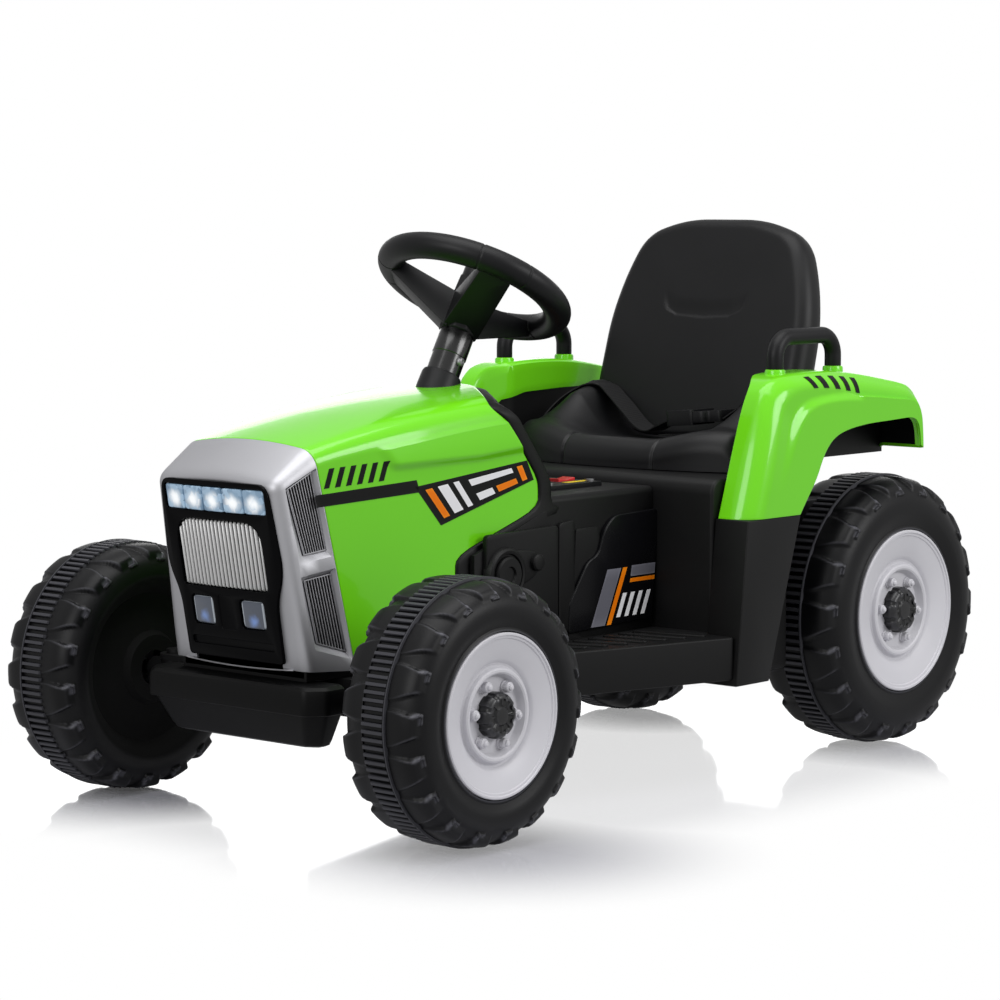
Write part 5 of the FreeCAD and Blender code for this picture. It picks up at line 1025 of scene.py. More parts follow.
def fascia_place(u, row):
    """Rows 0-5 from the seam over the vents to the front corner, 6-11 round it, 12 under the mask."""
    side, u = (1, u) if u >= 0 else (-1, -u)
    front, back, under = nose_point(u), seam_point(u), mask_point(u)
    length = (back - front).length
    ahead = between(PLATE_FRONT, min(u, 10))
    corner = CORNER_RUN / length
    stops = [1.0, 1 - 1.0 / length, 1 - VENT_MARGIN / length, ahead, ahead - 8.5 / length, corner]
    if u > 10:
        stops = [1 - k * (1 - corner) / 5 for k in range(6)]
    if row <= 5:
        low = int(row)
        share = stops[low] if low == row else (stops[low] + stops[low + 1]) / 2
        spot = front.lerp(back, max(share, corner))
        if row in (2, 2.5, 3) and u in SUNK_ROWS:
            spot.x -= SINK
    elif row <= 11:
        share = (row - 5) / 6
        reach = min(10.0, (under - front).length * 0.85)
        first = front.lerp(back, corner)
        last = front + (under - front).normalized() * reach
        spot = first * (1 - share) ** 2 + front * 2 * share * (1 - share) + last * share ** 2
    else:
        spot = under
    return Vector((side * spot.x, spot.y + FRONT_AXLE_Y, spot.z))


rows_up = list(range(11)) + spread(10, 11, 6)[1:] + spread(11, 12, 8)[1:]
surround_over = rows_up + [-max(u, 1e-6) for u in reversed(rows_up[:-1])]
surround = skin("front_surround", surround_over, FASCIA_ROWS, fascia_place)
wall(surround, 2.4, 0.9, 3)
silver_look = Finish("silver_satin", metallic=0.88, specular_ior_level=0.5)
flake = silver_look.noise(1600, 2.0)
drift = silver_look.noise(9, 3.0)
silver_look.set("Base Color", silver_look.mix(drift, tone(174, 174, 178), tone(182, 182, 186)))
silver_look.set("Roughness", flake * 0.12 + drift * 0.06 + 0.42)
silver_look.bump(flake, 0.06, 0.0001)
settle(surround, None, 34)
fit(surround, "chassis", "silver_satin", silver_look, "fascia")

SILL = [(0, 140.6), (-1.2, 140.6), (-1.7, 141), (-1.7, 141.6), (-1.2, 142), (0, 142)]
SILL_HALF, SILL_BOW = 66, 2.5


def sill_place(x, row):
    """The thin sill, bowed forwards and down in the middle and run out at both ends."""
    y, z = SILL[row]
    bow = SILL_BOW * (1 - (x / SILL_HALF) ** 2)
    ends = 1 - step(abs(x), SILL_HALF - 2, SILL_HALF + 2)
    return Vector((x, nose_station(z) + FRONT_AXLE_Y + y * ends - bow, z - bow * 0.8))


sill = skin("mask_sill", spread(-SILL_HALF, SILL_HALF, 24), list(range(len(SILL))), sill_place)
settle(sill, None, 50)
fit(sill, "chassis", "silver_satin", silver_look)

# Vent plates: black plates let into the fascia's sides, each with ten thin silver fins
# and a thin silver frame. They clip in from behind.
FINS, FIN_RISE = 10, 1.8
FRAME_STRIPS = ((0, 0.02, 0, 1), (0.98, 1, 0, 1), (0, 1, 0, 0.014), (0, 1, 0.986, 1))


def vent_strip(low, high, left, right, foot, head, rise):
    """A strip of a vent plate between two shares across and two shares up."""
    def put(across, up):
        u = low + (high - low) * up
        length = (seam_point(u) - nose_point(u)).length
        ahead, behind = between(PLATE_FRONT, u), 1 - VENT_MARGIN / length
        spot = fascia_side(u, ahead + (behind - ahead) * across)
        return Vector((spot.x - SINK + 0.2 + rise, spot.y + FRONT_AXLE_Y, spot.z))
    return wall(skin("vent_strip", spread(left, right, 2), spread(foot, head, 10), put), 1.0)


plates, fins = [], []
for low, high in ((2, 4), (7, 9)):
    plates.append(vent_strip(low, high, 0, 1, 0, 1, 0))
    for count in range(FINS):
        left, right = (count + 0.40) / FINS, (count + 0.60) / FINS
        fins.append(vent_strip(low, high, left, right, 0.01, 0.99, FIN_RISE))
    fins += [vent_strip(low, high, *edges, FIN_RISE) for edges in FRAME_STRIPS]
# The vent plates take the darker copy of the black plastic, which paints the shade between the fins.
for name, strips, slot, finish, nodes in (
        ("vent_plates", plates, "black_satin", shaded_black, ["side_vents"]),
        ("vent_fins", fins, "silver_satin", silver_look, [])):
    piece = both_sides(join(*strips))
    piece.name = name
    settle(piece)
    fit(piece, "chassis", slot, finish, *nodes)

# Mask: a glossy black plate on the fascia's front with pockets for five lamps over the grille,
# two lamps under it and a slot at the foot. It clips in from behind.
def carve(piece, *cutters):
    """Cuts other pieces out of one and throws them away."""
    for cutter in cutters:
        cut = piece.modifiers.new("cut", "BOOLEAN")
        cut.operation = "DIFFERENCE"
        cut.object = cutter
        select_only(piece)
        bpy.ops.object.modifier_apply(modifier=cut.name)
        bpy.data.objects.remove(cutter)
    return piece


FRONT_BOW, BOW_HALF, BOW_MIDDLE = 5.0, 72, 2.5


def lean(piece):
    """Lays a piece drawn upright against the fascia's leaning front, bowed back towards its sides."""
    for corner in piece.data.vertices:
        bow = FRONT_BOW * (corner.co.x / BOW_HALF) ** 2
        corner.co.y += nose_station(corner.co.z) + FRONT_AXLE_Y + bow - BOW_MIDDLE
    return piece


def box_outline(x, z, width, height):
    """The corners of a box about its middle."""
    left, right, foot, head = x - width / 2, x + width / 2, z - height / 2, z + height / 2
    return [(left, foot), (right, foot), (right, head), (left, head)]


LENS_X = [-48, -24, 0, 24, 48]
LENS_Z, LAMP_Z = 286, 187
LAMP_X = [-30.3, 30.3]
GRILLE = [(-51.5, 208, 5), (51.5, 208, 5), (51.5, 268.5, 22), (-51.5, 268.5, 22)]
MASK_OUTLINE = [(-57.5, 145.5, 4), (57.5, 145.5, 4), (58.5, 199, 12), (70.5, 226, 14), (64.5, 302, 12),
                (-64.5, 302, 12), (-70.5, 226, 14), (-58.5, 199, 12)]
mask = slab("mask_plate", rounded(MASK_OUTLINE, 6), -2, 4)
# each pocket: its outline, the round of its corners and the level of its floor
pockets = [(GRILLE, 8, 0.2), (box_outline(0, LENS_Z, 121.5, 22.5), 4, 0.6),
           (box_outline(0, 159.5, 100, 7), 2.5, 1.6), (box_outline(0, LAMP_Z, 19, 30), 3, 2.8)]
pockets += [(box_outline(x, LAMP_Z, 28, 26.5), 5, 0.6) for x in LAMP_X]
carve(mask, *[slab("cutter", rounded(outline, bend), level, 9) for outline, bend, level in pockets])
soft(mask, 0.9, 3)
lean(mask)
settle(mask)
fit(mask, "chassis", "black_gloss", black_gloss, "mask")

# Grille and lamps: a moulded silver grille of upright half-round bars, and clear lenses over white diodes.
# The bars and lenses are pressed into the mask's pockets.
BARS, BAR_PITCH, BAR_FOOT = 22, 4.62, 208.8
BAR_HALF, BAR_RISE_UP = 1.3, 2.2
GRILLE_HEAD, HEAD_FLAT, HEAD_ROUND, HEAD_DROP = 267.4, 34.5, 16.5, 10.5


def grille_top(x):
    """Where the opening's upper edge stands over a place across."""
    past = max(0.0, abs(x) - HEAD_FLAT)
    return GRILLE_HEAD - (past / HEAD_ROUND) ** 2 * HEAD_DROP


bars = []
for count in range(BARS):
    middle = (count + 0.5 - BARS / 2) * BAR_PITCH

    def bar_place(across, up, middle=middle):
        angle = across * math.pi
        x = middle - BAR_HALF * math.cos(angle)
        z = BAR_FOOT + (grille_top(middle) - BAR_FOOT) * up
        ends = min(1.0, min(up, 1 - up) * 40)
        return Vector((x, -0.2 - BAR_RISE_UP * math.sin(angle) * ends, z))

    bars.append(skin("grille_ribs", spread(0, 1, 8), [0, 0.012, 0.025, 0.5, 0.975, 0.988, 1], bar_place))
grille = join(*bars)
lean(grille)
settle(grille, None, 60)
grille_look = Finish("grille_silver", metallic=0.3, specular_ior_level=0.5)
shine = grille_look.noise(300, 3.0)
grille_look.set("Base Color", grille_look.mix(shine, tone(214, 214, 214), tone(226, 226, 225)))
grille_look.set("Roughness", shine * 0.15 + 0.3)
fit(grille, "chassis", "silver_satin", grille_look, "radiator_grille")

lens_look = Finish("lamp_lens", specular_ior_level=0.6, coat_weight=0.5, coat_roughness=0.05)
across, _, up = lens_look.axes()
off_x = abs((across / 0.024 + 0.5).fraction() - 0.5) * 24
off_z = abs(up * 1000 - LENS_Z + 1.5)
facets = lens_look.node("TexVoronoi", {"feature": "F1"}, {"Vector": lens_look.place(), "Scale": 190.0})
facet = lens_look.node("SeparateColor", None, {0: facets.part("Color")})
ripple = lens_look.noise(140, 3.0, (1, 1, 0.35))
off_middle = (off_x * off_x * 0.8 + off_z * off_z) ** 0.5
spot = 1 - lens_look.ramp(off_middle + ripple * 6 + facet * 3 - 4, 2.0, 10.5)
ice = lens_look.mix(facet, tone(92, 118, 142), tone(152, 178, 200))
lit = lens_look.mix(spot, ice, tone(250, 253, 255))
lens_look.set("Base Color", lit)
lens_look.set("Emission Color", lit)
lens_look.set("Emission Strength", 0.34)
lens_look.set("Roughness", ripple * 0.1 + 0.06)
lenses = []
for x in LENS_X:
    lens = slab("lamp_lenses", rounded(box_outline(x, LENS_Z, 22.7, 21), 2.6), -1, 3.2)
    lenses.append(soft(lens, 1.2, 3, 40))
lens_row = join(*lenses)
lean(lens_row)
settle(lens_row, None, 30)
fit(lens_row, "chassis", "lamp_lens", lens_look, "light_bar_lenses")

lamp_look = Finish("lower_lamp", specular_ior_level=0.6, coat_weight=0.5, coat_roughness=0.05)
across, _, up = lamp_look.axes()
off_x = abs(abs(across) * 1000 - LAMP_X[1])
off_z = abs(up * 1000 - LAMP_Z)
low_z = abs(up * 1000 - LAMP_Z + 6)
ripple = lamp_look.noise(120, 3.0)
spot = 1 - lamp_look.ramp((off_x * off_x + low_z * low_z) ** 0.5 + ripple * 8 - 3, 1.0, 9)
rim_line = lamp_look.ramp((off_x + 0.6).at_least(off_z), 11.3, 11.8)
lit = lamp_look.mix(spot, tone(70, 76, 88), tone(112, 142, 202))
lit = lamp_look.mix(rim_line * 0.6, lit, tone(196, 204, 212))
lamp_look.set("Base Color", lit)
lamp_look.set("Emission Color", lit)
lamp_look.set("Emission Strength", 0.10)
lamp_look.set("Roughness", ripple * 0.1 + 0.06)
lamps = []
for x in LAMP_X:
    lamp = slab("lower_lamp_lenses", rounded(box_outline(x, LAMP_Z, 25.5, 24), 4), -1, 3.0)
    lamps.append(soft(lamp, 1.4, 3, 40))
lamp_pair = join(*lamps)
lean(lamp_pair)
settle(lamp_pair, None, 30)
fit(lamp_pair, "chassis", "lamp_lens", lamp_look, "lower_lamps")

# Steering wheel: a thick black rim on three wedge-shaped spokes that dip to a narrow hub, with a round pad on
# top. It turns on a rod in the glossy sleeve, which a cross bolt holds. A collar stands where the sleeve
# enters the bonnet.
COLUMN = Matrix.Translation((0, -93.508, 459.7)) @ Matrix((
    (1, 0, 0, 0), (0, 0.8729, 0.4879, 0), (0, -0.4879, 0.8729, 0), (0, 0, 0, 1)))
UPRIGHT = Matrix.Rotation(math.radians(-90), 4, "Y")
RING_RADIUS, RING_THICK = 81, 13
RING_JOINTS = (75, 105, 199, 226, 312, 343)
JOINT_STEPS = (-1.3, -0.9, -0.4, 0, 0.4, 0.9, 1.3)
SPOKES = (90, 212, 326)
SPOKE_OUTLINE = [(8, -18), (8, 18), (44, 16.5), (77, 15.5), (77, -15.5), (44, -16.5)]
SPOKE_TOP, TOP_SLOPE, SPOKE_UNDER, UNDER_SLOPE = -15.7, 0.27, -50, 0.56
HUB_OUTLINE = [(-17, -9), (-9, -17), (9, -17), (17, -9), (17, 9), (9, 17), (-9, 17), (-17, 9)]
HUB_TOP_SHARE, BOLT_DROP = 0.84, 77


def ring_place(turn, across):
    """The rim's round section, drawn in a little at the joint lines beside the spokes; turn is in degrees."""
    angle = across * 2 * math.pi
    gap = min(abs((turn - joint + 180) % 360 - 180) for joint in RING_JOINTS)
    thick = RING_THICK * (0.955 + 0.045 * step(gap, 0.25, 0.9))
    r = RING_RADIUS + thick * math.cos(angle)
    way = math.radians(turn)
    return Vector((r * math.cos(way), r * math.sin(way), 0.94 * thick * math.sin(angle)))


ring_turns = spread(0, 360, 112) + [joint + beside for joint in RING_JOINTS for beside in JOINT_STEPS]
ring = skin("wheel_rim", sorted(ring_turns), spread(0, 1, 28), ring_place, closed=True)


def spoke(turn):
    """One wedge-shaped arm: shallow where it meets the rim, deep at the hub, which lies lower."""
    arm = laid_slab("wheel_spoke", rounded(SPOKE_OUTLINE, 3, 3), 0, 1)
    for corner in arm.data.vertices:
        along = corner.co.x - SPOKE_OUTLINE[0][0]
        upper = corner.co.z > 0.5
        corner.co.z = SPOKE_TOP + TOP_SLOPE * along if upper else SPOKE_UNDER + UNDER_SLOPE * along
    soft(arm, 2.6, 3)
    arm.data.transform(Matrix.Rotation(math.radians(turn), 4, "Z"))
    return arm


hub = laid_slab("wheel_hub", rounded(HUB_OUTLINE, 2, 2), -49, 7)
for corner in hub.data.vertices:
    if corner.co.z > 0:
        corner.co.x *= HUB_TOP_SHARE
        corner.co.y *= HUB_TOP_SHARE
soft(hub, 2, 3)
steer = join(ring, hub, *[spoke(turn) for turn in SPOKES])
settle(steer, COLUMN, 35)
fit(steer, "steering", "black_satin", soft_black, "steering_wheel")

sleeve_black = moulded("sleeve_black", tone(7, 7, 8), tone(10, 10, 11), 0.10, 0.8, 900, 0.03)
PAD_LINE = [(5, 0), (5, 14.6), (18, 14.4), (20.6, 13.2), (21, 11), (13.6, 10.6), (13.6, 0)]
HORN_LINE = [(16.6, 0), (16.6, 10.2), (22.4, 10.2), (23.8, 9.4), (24.5, 7.6), (24.2, 4), (24.0, 0)]
SLEEVE_LINE = [(-97, 0), (-97, 15.6), (-72.4, 15.6), (-71.8, 16.3), (-40, 16.3), (-38.6, 15.4), (-38.6, 0)]
COLLAR_LINE = [(-128, 15.2), (-128, 19.9), (-94, 18.9), (-91.6, 18.1), (-91, 17), (-91, 15.2)]
for name, line, turns, node, finish, slot in (
        ("hub_pad", PAD_LINE, 48, "wheel_pad", soft_black, "black_satin"),
        ("horn_cap", HORN_LINE, 48, "horn_button", soft_black, "black_satin"),
        ("sleeve_tube", SLEEVE_LINE, 64, "column_sleeve", sleeve_black, "black_gloss"),
        ("collar_ring", COLLAR_LINE, 64, "column_collar", soft_black, "black_satin")):
    piece = lathe(name, line, turns)
    settle(piece, COLUMN @ UPRIGHT, 40)
    fit(piece, frame["nodes"][node]["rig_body"], slot, finish, node)
BOLT_LINE = [(-19.4, 0), (-19.4, 3.0), (-18, 4.0), (-15, 4.0), (-15, 2), (15, 2), (15, 4.2), (17.2, 4.2),
             (18.4, 3.5), (19.0, 2.0), (17.6, 1.4), (17.6, 0)]
bolt = lathe("cross_bolt", BOLT_LINE, 24)
settle(bolt, COLUMN @ Matrix.Translation((0, 0, -BOLT_DROP)), 40)
fit(bolt, frame["nodes"]["clamp_bolt"]["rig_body"], "steel", bare_steel, "clamp_bolt")

# Fenders: glossy green mouldings that sit on the black legs and arch over the rear wheels, with a black liner
# inside. The outer half stands out along the arch, the tail turns down, and black rails stand on two bosses
# of each.
SPINE = [(57, 244.3), (61, 256), (84, 325), (96, 355), (106, 367), (118, 373), (140, 376.5), (200, 378),
         (250, 373), (300, 364.5), (322, 360.5), (334, 356), (341, 346), (344, 328), (345, 290)]
ARCH = [(137, 244.3), (146, 256), (163, 276), (172, 294), (181, 306), (193, 315), (212, 320.5), (235, 323.5),
        (255, 325), (290, 326), (312, 327), (324, 327), (333, 323), (337, 312), (339, 296)]
INNER_FOOT = [(70, 244), (95, 292), (115, 325), (124, 338), (154, 345), (209, 347), (320, 348)]
FENDER_OUT, INNER_WALL, INNER_STEP, WALL_BACK = 207.0, 168.6, 18.1, 3
SHOULDER, FLARE, LEDGE_SHARE, LIP = 24.0, 5.0, 0.44, 7
TAIL = len(SPINE) - 1


def line_at(points, v):
    """A place on a line of points, counted in points from its start, with the corners eased."""
    stations = [(float(k), point[0]) for k, point in enumerate(points)]
    heights = [(float(k), point[1]) for k, point in enumerate(points)]
    return Vector((smooth_between(stations, v, 0.5), smooth_between(heights, v, 0.5)))


def fender_place(u, v):
    """u 0-1 up the inner wall, 1-2 over the top, 2-3 round the shoulder, 3-4 down the side, 4-5 the lip."""
    top, low = line_at(SPINE, v), line_at(ARCH, v)
    if v <= 0.6:
        top, low = Vector(SPINE[0]).lerp(Vector(SPINE[1]), v), Vector(ARCH[0]).lerp(Vector(ARCH[1]), v)
    inner_x = INNER_WALL - INNER_STEP * step(top.x, 98, 136)
    down = low - top
    reach = down.length
    down = down / reach
    bend = min(SHOULDER, reach * 0.45)
    if u <= 1:
        head = top.y - WALL_BACK
        foot = min(between(INNER_FOOT, top.x + WALL_BACK), head - 0.5)
        return Vector((inner_x, top.x + WALL_BACK, foot + (head - foot) * u))
    if u <= 2:
        x = inner_x + (FENDER_OUT - bend - inner_x) * (u - 1)
        ease_in = WALL_BACK * (1 - step(u, 1.0, 1.16))
        return Vector((x, top.x + ease_in * 0.8, top.y - ease_in * 0.9))
    flare = FLARE * step(v, 1.2, 3.5) * (1 - step(v, TAIL - 3, TAIL - 1))
    if u <= 3:
        angle = (u - 2) * math.pi / 2
        x = FENDER_OUT - bend + bend * math.sin(angle)
        spot = top + down * bend * (1 - math.cos(angle))
        return Vector((x - flare * step(u, 2.0, 2.5), spot.x, spot.y))
    if u <= 4:
        run = bend + (reach - bend) * (u - 3)
        spot = top + down * run
        ledge = reach * LEDGE_SHARE
        out = step(run, ledge - 5, ledge + 7) if ledge > bend else 1.0
        return Vector((FENDER_OUT - flare * (1 - out), spot.x, spot.y))
    turned = u - 4
    spot = low - down * 2.5 * math.sin(turned * math.pi)
    return Vector((FENDER_OUT - LIP * turned, spot.x, spot.y))


def lifted(u, v, proud):
    """A place over the fender's skin, or under it."""
    reach = 0.02
    first = fender_place(u + reach, v) - fender_place(u - reach, v)
    second = fender_place(u, v + reach) - fender_place(u, v - reach)
    spot = fender_place(u, v)
    return spot + first.cross(second).normalized() * proud


fender_across = (spread(0, 1, 4) + spread(1, 2, 14)[1:] + spread(2, 3, 12)[1:] + spread(3, 4, 30)[1:]
                 + spread(4, 5, 4)[1:])
fender_along = spread(0, 1, 6) + spread(1, TAIL, 120)[1:]
fender = skin("left_fender", fender_across, fender_along, fender_place)
wall(fender, 2.6, 0.6, even=False)
RAIL_X, RAIL_STANDS = 170, (145, 239)
RAIL_BOSS = [(370, 0), (370, 10), (377.6, 9.8), (379.4, 9.2), (379.8, 8.4), (379.8, 0)]
bosses = []
for y in RAIL_STANDS:
    boss = lathe("rail_boss", RAIL_BOSS, 40)
    boss.data.transform(Matrix.Translation((RAIL_X, y, 0)) @ UPRIGHT)
    bosses.append(boss)
join(fender, *bosses)
settle(fender, None, 34)
far_fender = twin(fender, "right_fender", Matrix.Scale(-1, 4, (1, 0, 0)))
fit(fender, "chassis", "green_gloss", green_look, "fender_left")
fit(far_fender, "chassis", "green_gloss", green_look, "fender_right")

LINER_GAP, LINER_FOOT = 3.2, 289


def liner_place(u, v):
    """The liner follows the fender from inside; below the inner wall's edge it hangs straight down."""
    spot = lifted(max(u, 0.05), v, -LINER_GAP)
    if u < 0:
        spot.z += (min(LINER_FOOT, spot.z) - spot.z) * -u
    return spot


liner_across = spread(-1, 0, 4) + spread(0, 2.9, 30)[1:]
liner = skin("fender_liners", liner_across, spread(2.2, TAIL - 0.15, 64), liner_place)
wall(liner, 1.0, even=False)
both_sides(liner)
settle(liner, None, 40)
fit(liner, "chassis", "black_satin", black_satin)
RAIL_END, RAIL_LONGER = 1.5, 8
rails = softened("handrails", "fender_rails", 0.5, 3, 0.5)
rail_foot = min(corner.co.z for corner in rails.data.vertices)
for corner in rails.data.vertices:
    if corner.co.z < rail_foot + RAIL_END:
        corner.co.z -= RAIL_LONGER
settle(rails, None, 40)
fit(rails, "chassis", "black_satin", soft_black, "handrails")

# Seat: a blow-moulded black pan with a rolled front, side bolsters and a plain rear face, and a leaning back
# with a rolled rim. The back carries a shallow moulded curve; both are hooked and screwed to the seat base.
PAN_SIDES, PAN_FOOT, PAN_TAIL = 140, 281, 271
ROLL_DEEP, ROLL_HIGH = 20, 22
BOLSTER = [(104, 0), (127, 2), (147, 7), (165, 19), (185, 33), (215, 42), (275, 42)]
FLOOR_HEIGHT, HUMP_X, HUMP_WIDE = 307, 110, 25
GROOVE_X, GROOVE_DEEP, GROOVE_WIDE = 56, 1.7, 1.6
PAN_LEAD, CORNERS_BACK, EDGE_DROP, EDGE_WIDE, REAR_NARROWING = 98, 26, 13, 15, 0.2


def pan_height(x, y):
    """The pan's height: a dished floor with a bolster along each side that rises to the rear."""
    across = 9 * step(abs(x), 40, 100)
    floor_level = FLOOR_HEIGHT + across - 4 * step(y, 120, 190) + 2 * (1 - step(y, 112, 150))
    hump = math.exp(-((abs(x) - HUMP_X) / HUMP_WIDE) ** 2)
    return floor_level + between(BOLSTER, y) * hump


def side_drop(x):
    """How far the pan turns down at its side edges."""
    return EDGE_DROP * step(abs(x), PAN_SIDES - EDGE_WIDE, PAN_SIDES) ** 2


def pan_place(x, row):
    """Rows -2 to -1 climb the front face, -1 to 0 go over the roll, then a share of the way to the tail."""
    beyond = max(0.0, abs(x) - PAN_SIDES)
    x = max(-PAN_SIDES, min(PAN_SIDES, x))
    lead = PAN_LEAD + CORNERS_BACK * (abs(x) / PAN_SIDES) ** 2.6
    drop = side_drop(x)
    groove = GROOVE_DEEP * math.exp(-((abs(x) - GROOVE_X) / GROOVE_WIDE) ** 2)
    crest = pan_height(x, lead + ROLL_DEEP) - drop
    if row >= 0:
        y = lead + ROLL_DEEP + (PAN_TAIL - lead - ROLL_DEEP) * row
        z = pan_height(x, y) - drop - groove * (1 - step(row, 0.0, 0.06))
        x *= 1 - REAR_NARROWING * step(y, 219, PAN_TAIL)
    elif row >= -1:
        angle = (1 + row) * math.pi / 2
        y = lead + ROLL_DEEP * (1 - math.cos(angle))
        z = crest - ROLL_HIGH * (1 - math.sin(angle)) - groove * math.sin(angle)
        y += groove * math.cos(angle)
    else:
        y = lead + groove
        z = PAN_FOOT + (crest - ROLL_HIGH - PAN_FOOT) * (row + 2)
    return Vector((x, y, z + (PAN_FOOT - z) * beyond / 10))


groove_columns = [GROOVE_X + k * 0.8 for k in range(-5, 6)]
plain_columns = [k * 2.8 for k in range(1, 50) if abs(k * 2.8 - GROOVE_X) > 4.6]
pan_half = sorted(plain_columns + groove_columns) + [138.6, 140, 145, 150]
pan_across = [-x for x in reversed(pan_half)] + [0] + pan_half
pan = skin("seat_shell", pan_across, [-2, -1.5] + spread(-1, 0, 12) + spread(0, 1, 66)[1:], pan_place)
wall(pan, 3.0, 0.6)
TAIL_FOOT, TAIL_DRAWN_IN, DRAWN_IN_BY = 236, 0.24, 0.6


def tail_place(x, row):
    """The rear face, from the pan's rear edge down to the seat base, drawn in between the wheels."""
    top = pan_height(x, PAN_TAIL) - side_drop(x)
    narrowing = 1 - TAIL_DRAWN_IN * min(1, row / DRAWN_IN_BY)
    return Vector(((1 - REAR_NARROWING) * x * narrowing, PAN_TAIL - 1, top + (TAIL_FOOT - top) * row))


tail = skin("seat_tail", [k * 7.0 for k in range(-20, 21)], spread(0, 1, 8), tail_place)
wall(tail, 3.0, 0.6)
join(pan, tail)
seat_look = moulded("seat_black", tone(13, 13, 15), tone(17, 17, 19), 0.36, 0.28, 1500, 0.2)
settle(pan, None, 40)
fit(pan, "chassis", "black_satin", seat_look, "seat_pan")

BACK_FOOT = Vector((0, 223, 326))
BACK_LEAN = math.radians(16)
BACK_OUTLINE = rounded([(-118, -26, 14), (118, -26, 14), (127, 20, 40), (126, 100, 60), (115, 148, 60),
                        (97, 190, 40), (48, 206, 54), (-48, 206, 54), (-97, 190, 40), (-115, 148, 60),
                        (-126, 100, 60), (-127, 20, 40)], 30, 9)
FACE_EDGE, FACE_SINK, EDGE_DEPTH, EDGE_RUN, REAR_EDGE_IN, BACK_DEPTH = 14, 3.5, 16, 4, 16, 44
CURVE_LINE = [(-54, 118), (-46, 108), (-34, 102), (0, 100), (34, 102), (46, 108), (54, 118)]
BACK_MIDDLE = Vector((0, 85))


def back_map(x, h, depth):
    """A place on the seat's back: across, up the face, and behind the face."""
    return Vector((x, BACK_FOOT.y + h * math.sin(BACK_LEAN) + depth * math.cos(BACK_LEAN),
                   BACK_FOOT.z + h * math.cos(BACK_LEAN) - depth * math.sin(BACK_LEAN)))


def moulded_curve(x, h):
    """Depth of the moulded curve: a step above the line, fading upwards and at both ends."""
    line = between(CURVE_LINE, x)
    inside = 1 - step(abs(x), 44, 54)
    return 2.0 * inside * step(h, line - 0.8, line + 1.2) * (1 - step(h, line + 4, line + 20))


def back_place(turn, row):
    """Rows 0-1 from the face's middle to its rim, 1-2 round the rim, 2-3 along the edge, 3-4 to the rear."""
    spot = BACK_OUTLINE[int(turn) % len(BACK_OUTLINE)]
    outward = (spot - BACK_MIDDLE).normalized()
    if row <= 1:
        flat = BACK_MIDDLE + (spot - outward * FACE_EDGE - BACK_MIDDLE) * row
        return back_map(flat.x, flat.y, FACE_SINK * row * row + moulded_curve(flat.x, flat.y))
    if row <= 2:
        angle = (row - 1) * math.pi / 2
        flat = spot - outward * FACE_EDGE * (1 - math.sin(angle))
        return back_map(flat.x, flat.y, FACE_SINK + EDGE_DEPTH * (1 - math.cos(angle)))
    if row <= 3:
        return back_map(spot.x, spot.y, FACE_SINK + EDGE_DEPTH + EDGE_RUN * (row - 2))
    angle = (row - 3) * math.pi / 2
    flat = spot - outward * REAR_EDGE_IN * (1 - math.cos(angle))
    edge_end = FACE_SINK + EDGE_DEPTH + EDGE_RUN
    return back_map(flat.x, flat.y, edge_end + (BACK_DEPTH - edge_end) * math.sin(angle))


back_turns = list(range(len(BACK_OUTLINE) + 1))
back_rows = spread(0.0, 1, 60) + spread(1, 2, 10)[1:] + [3] + spread(3, 4, 8)[1:]
seat_back = skin("seat_back_shell", back_turns, back_rows, back_place, closed=True)
wall(seat_back, 3.0, 0.6)
settle(seat_back, None, 50)
fit(seat_back, "chassis", "black_satin", seat_look, "seat_back")

# Lap belt: two straps of woven black webbing that come up beside the seat, lie over its bolsters and meet
# at a moulded side-release buckle on the pan. The far strap's loose tail comes out under the buckle.
STRAP_WIDTH, STRAP_THICK, THREADS = 25, 1.2, 2600
FAR_PATH = [(-141, 168, 296), (-140, 176, 318), (-132, 194, 338), (-116, 212, 352), (-98, 220, 352),
            (-78, 214, 342), (-55, 205, 329), (-34, 198, 316), (-14, 191, 311), (4, 187, 317), (22, 184, 324)]
NEAR_PATH = [(84, 186, 328), (98, 195, 340), (112, 208, 352), (128, 208, 342), (139, 204, 318),
             (141, 200, 296)]
TAIL_PATH = [(14, 178, 309), (34, 176, 310), (58, 177, 312), (82, 180, 316)]


def strap(name, path):
    """A ribbon along a smoothed path that stays above the pan, with its flat length."""
    spots = [Vector(p) for p in path]

    def along(t):
        k = min(int(t), len(spots) - 2)
        share = t - k
        p0, p1 = spots[max(k - 1, 0)], spots[k]
        p2, p3 = spots[k + 1], spots[min(k + 2, len(spots) - 1)]
        return 0.5 * (2 * p1 + (p2 - p0) * share + (2 * p0 - 5 * p1 + 4 * p2 - p3) * share ** 2
                      + (3 * p1 - p0 - 3 * p2 + p3) * share ** 3)

    def put(across, t):
        way = along(min(t + 0.05, len(spots) - 1)) - along(max(t - 0.05, 0))
        side = Vector((-0.5 * way.y, abs(way.x) + abs(way.z), 0)).normalized()
        spot = along(t) + side * across * STRAP_WIDTH / 2
        inside = abs(spot.x) < PAN_SIDES - 6
        spot.z = max(spot.z, pan_height(spot.x, spot.y) + 2.0) if inside else spot.z
        return spot

    stops = spread(0, len(spots) - 1, (len(spots) - 1) * 7)
    piece = skin(name, spread(-1, 1, 6), stops, put)
    length = sum((put(0, b) - put(0, a)).length for a, b in zip(stops, stops[1:]))
    wall(piece, STRAP_THICK)
    settle(piece, None, 60)
    return piece, length * MM


def ribs(line):
    """Fine ribs of thread along a line."""
    return line.sum("SINE", line) * 0.5


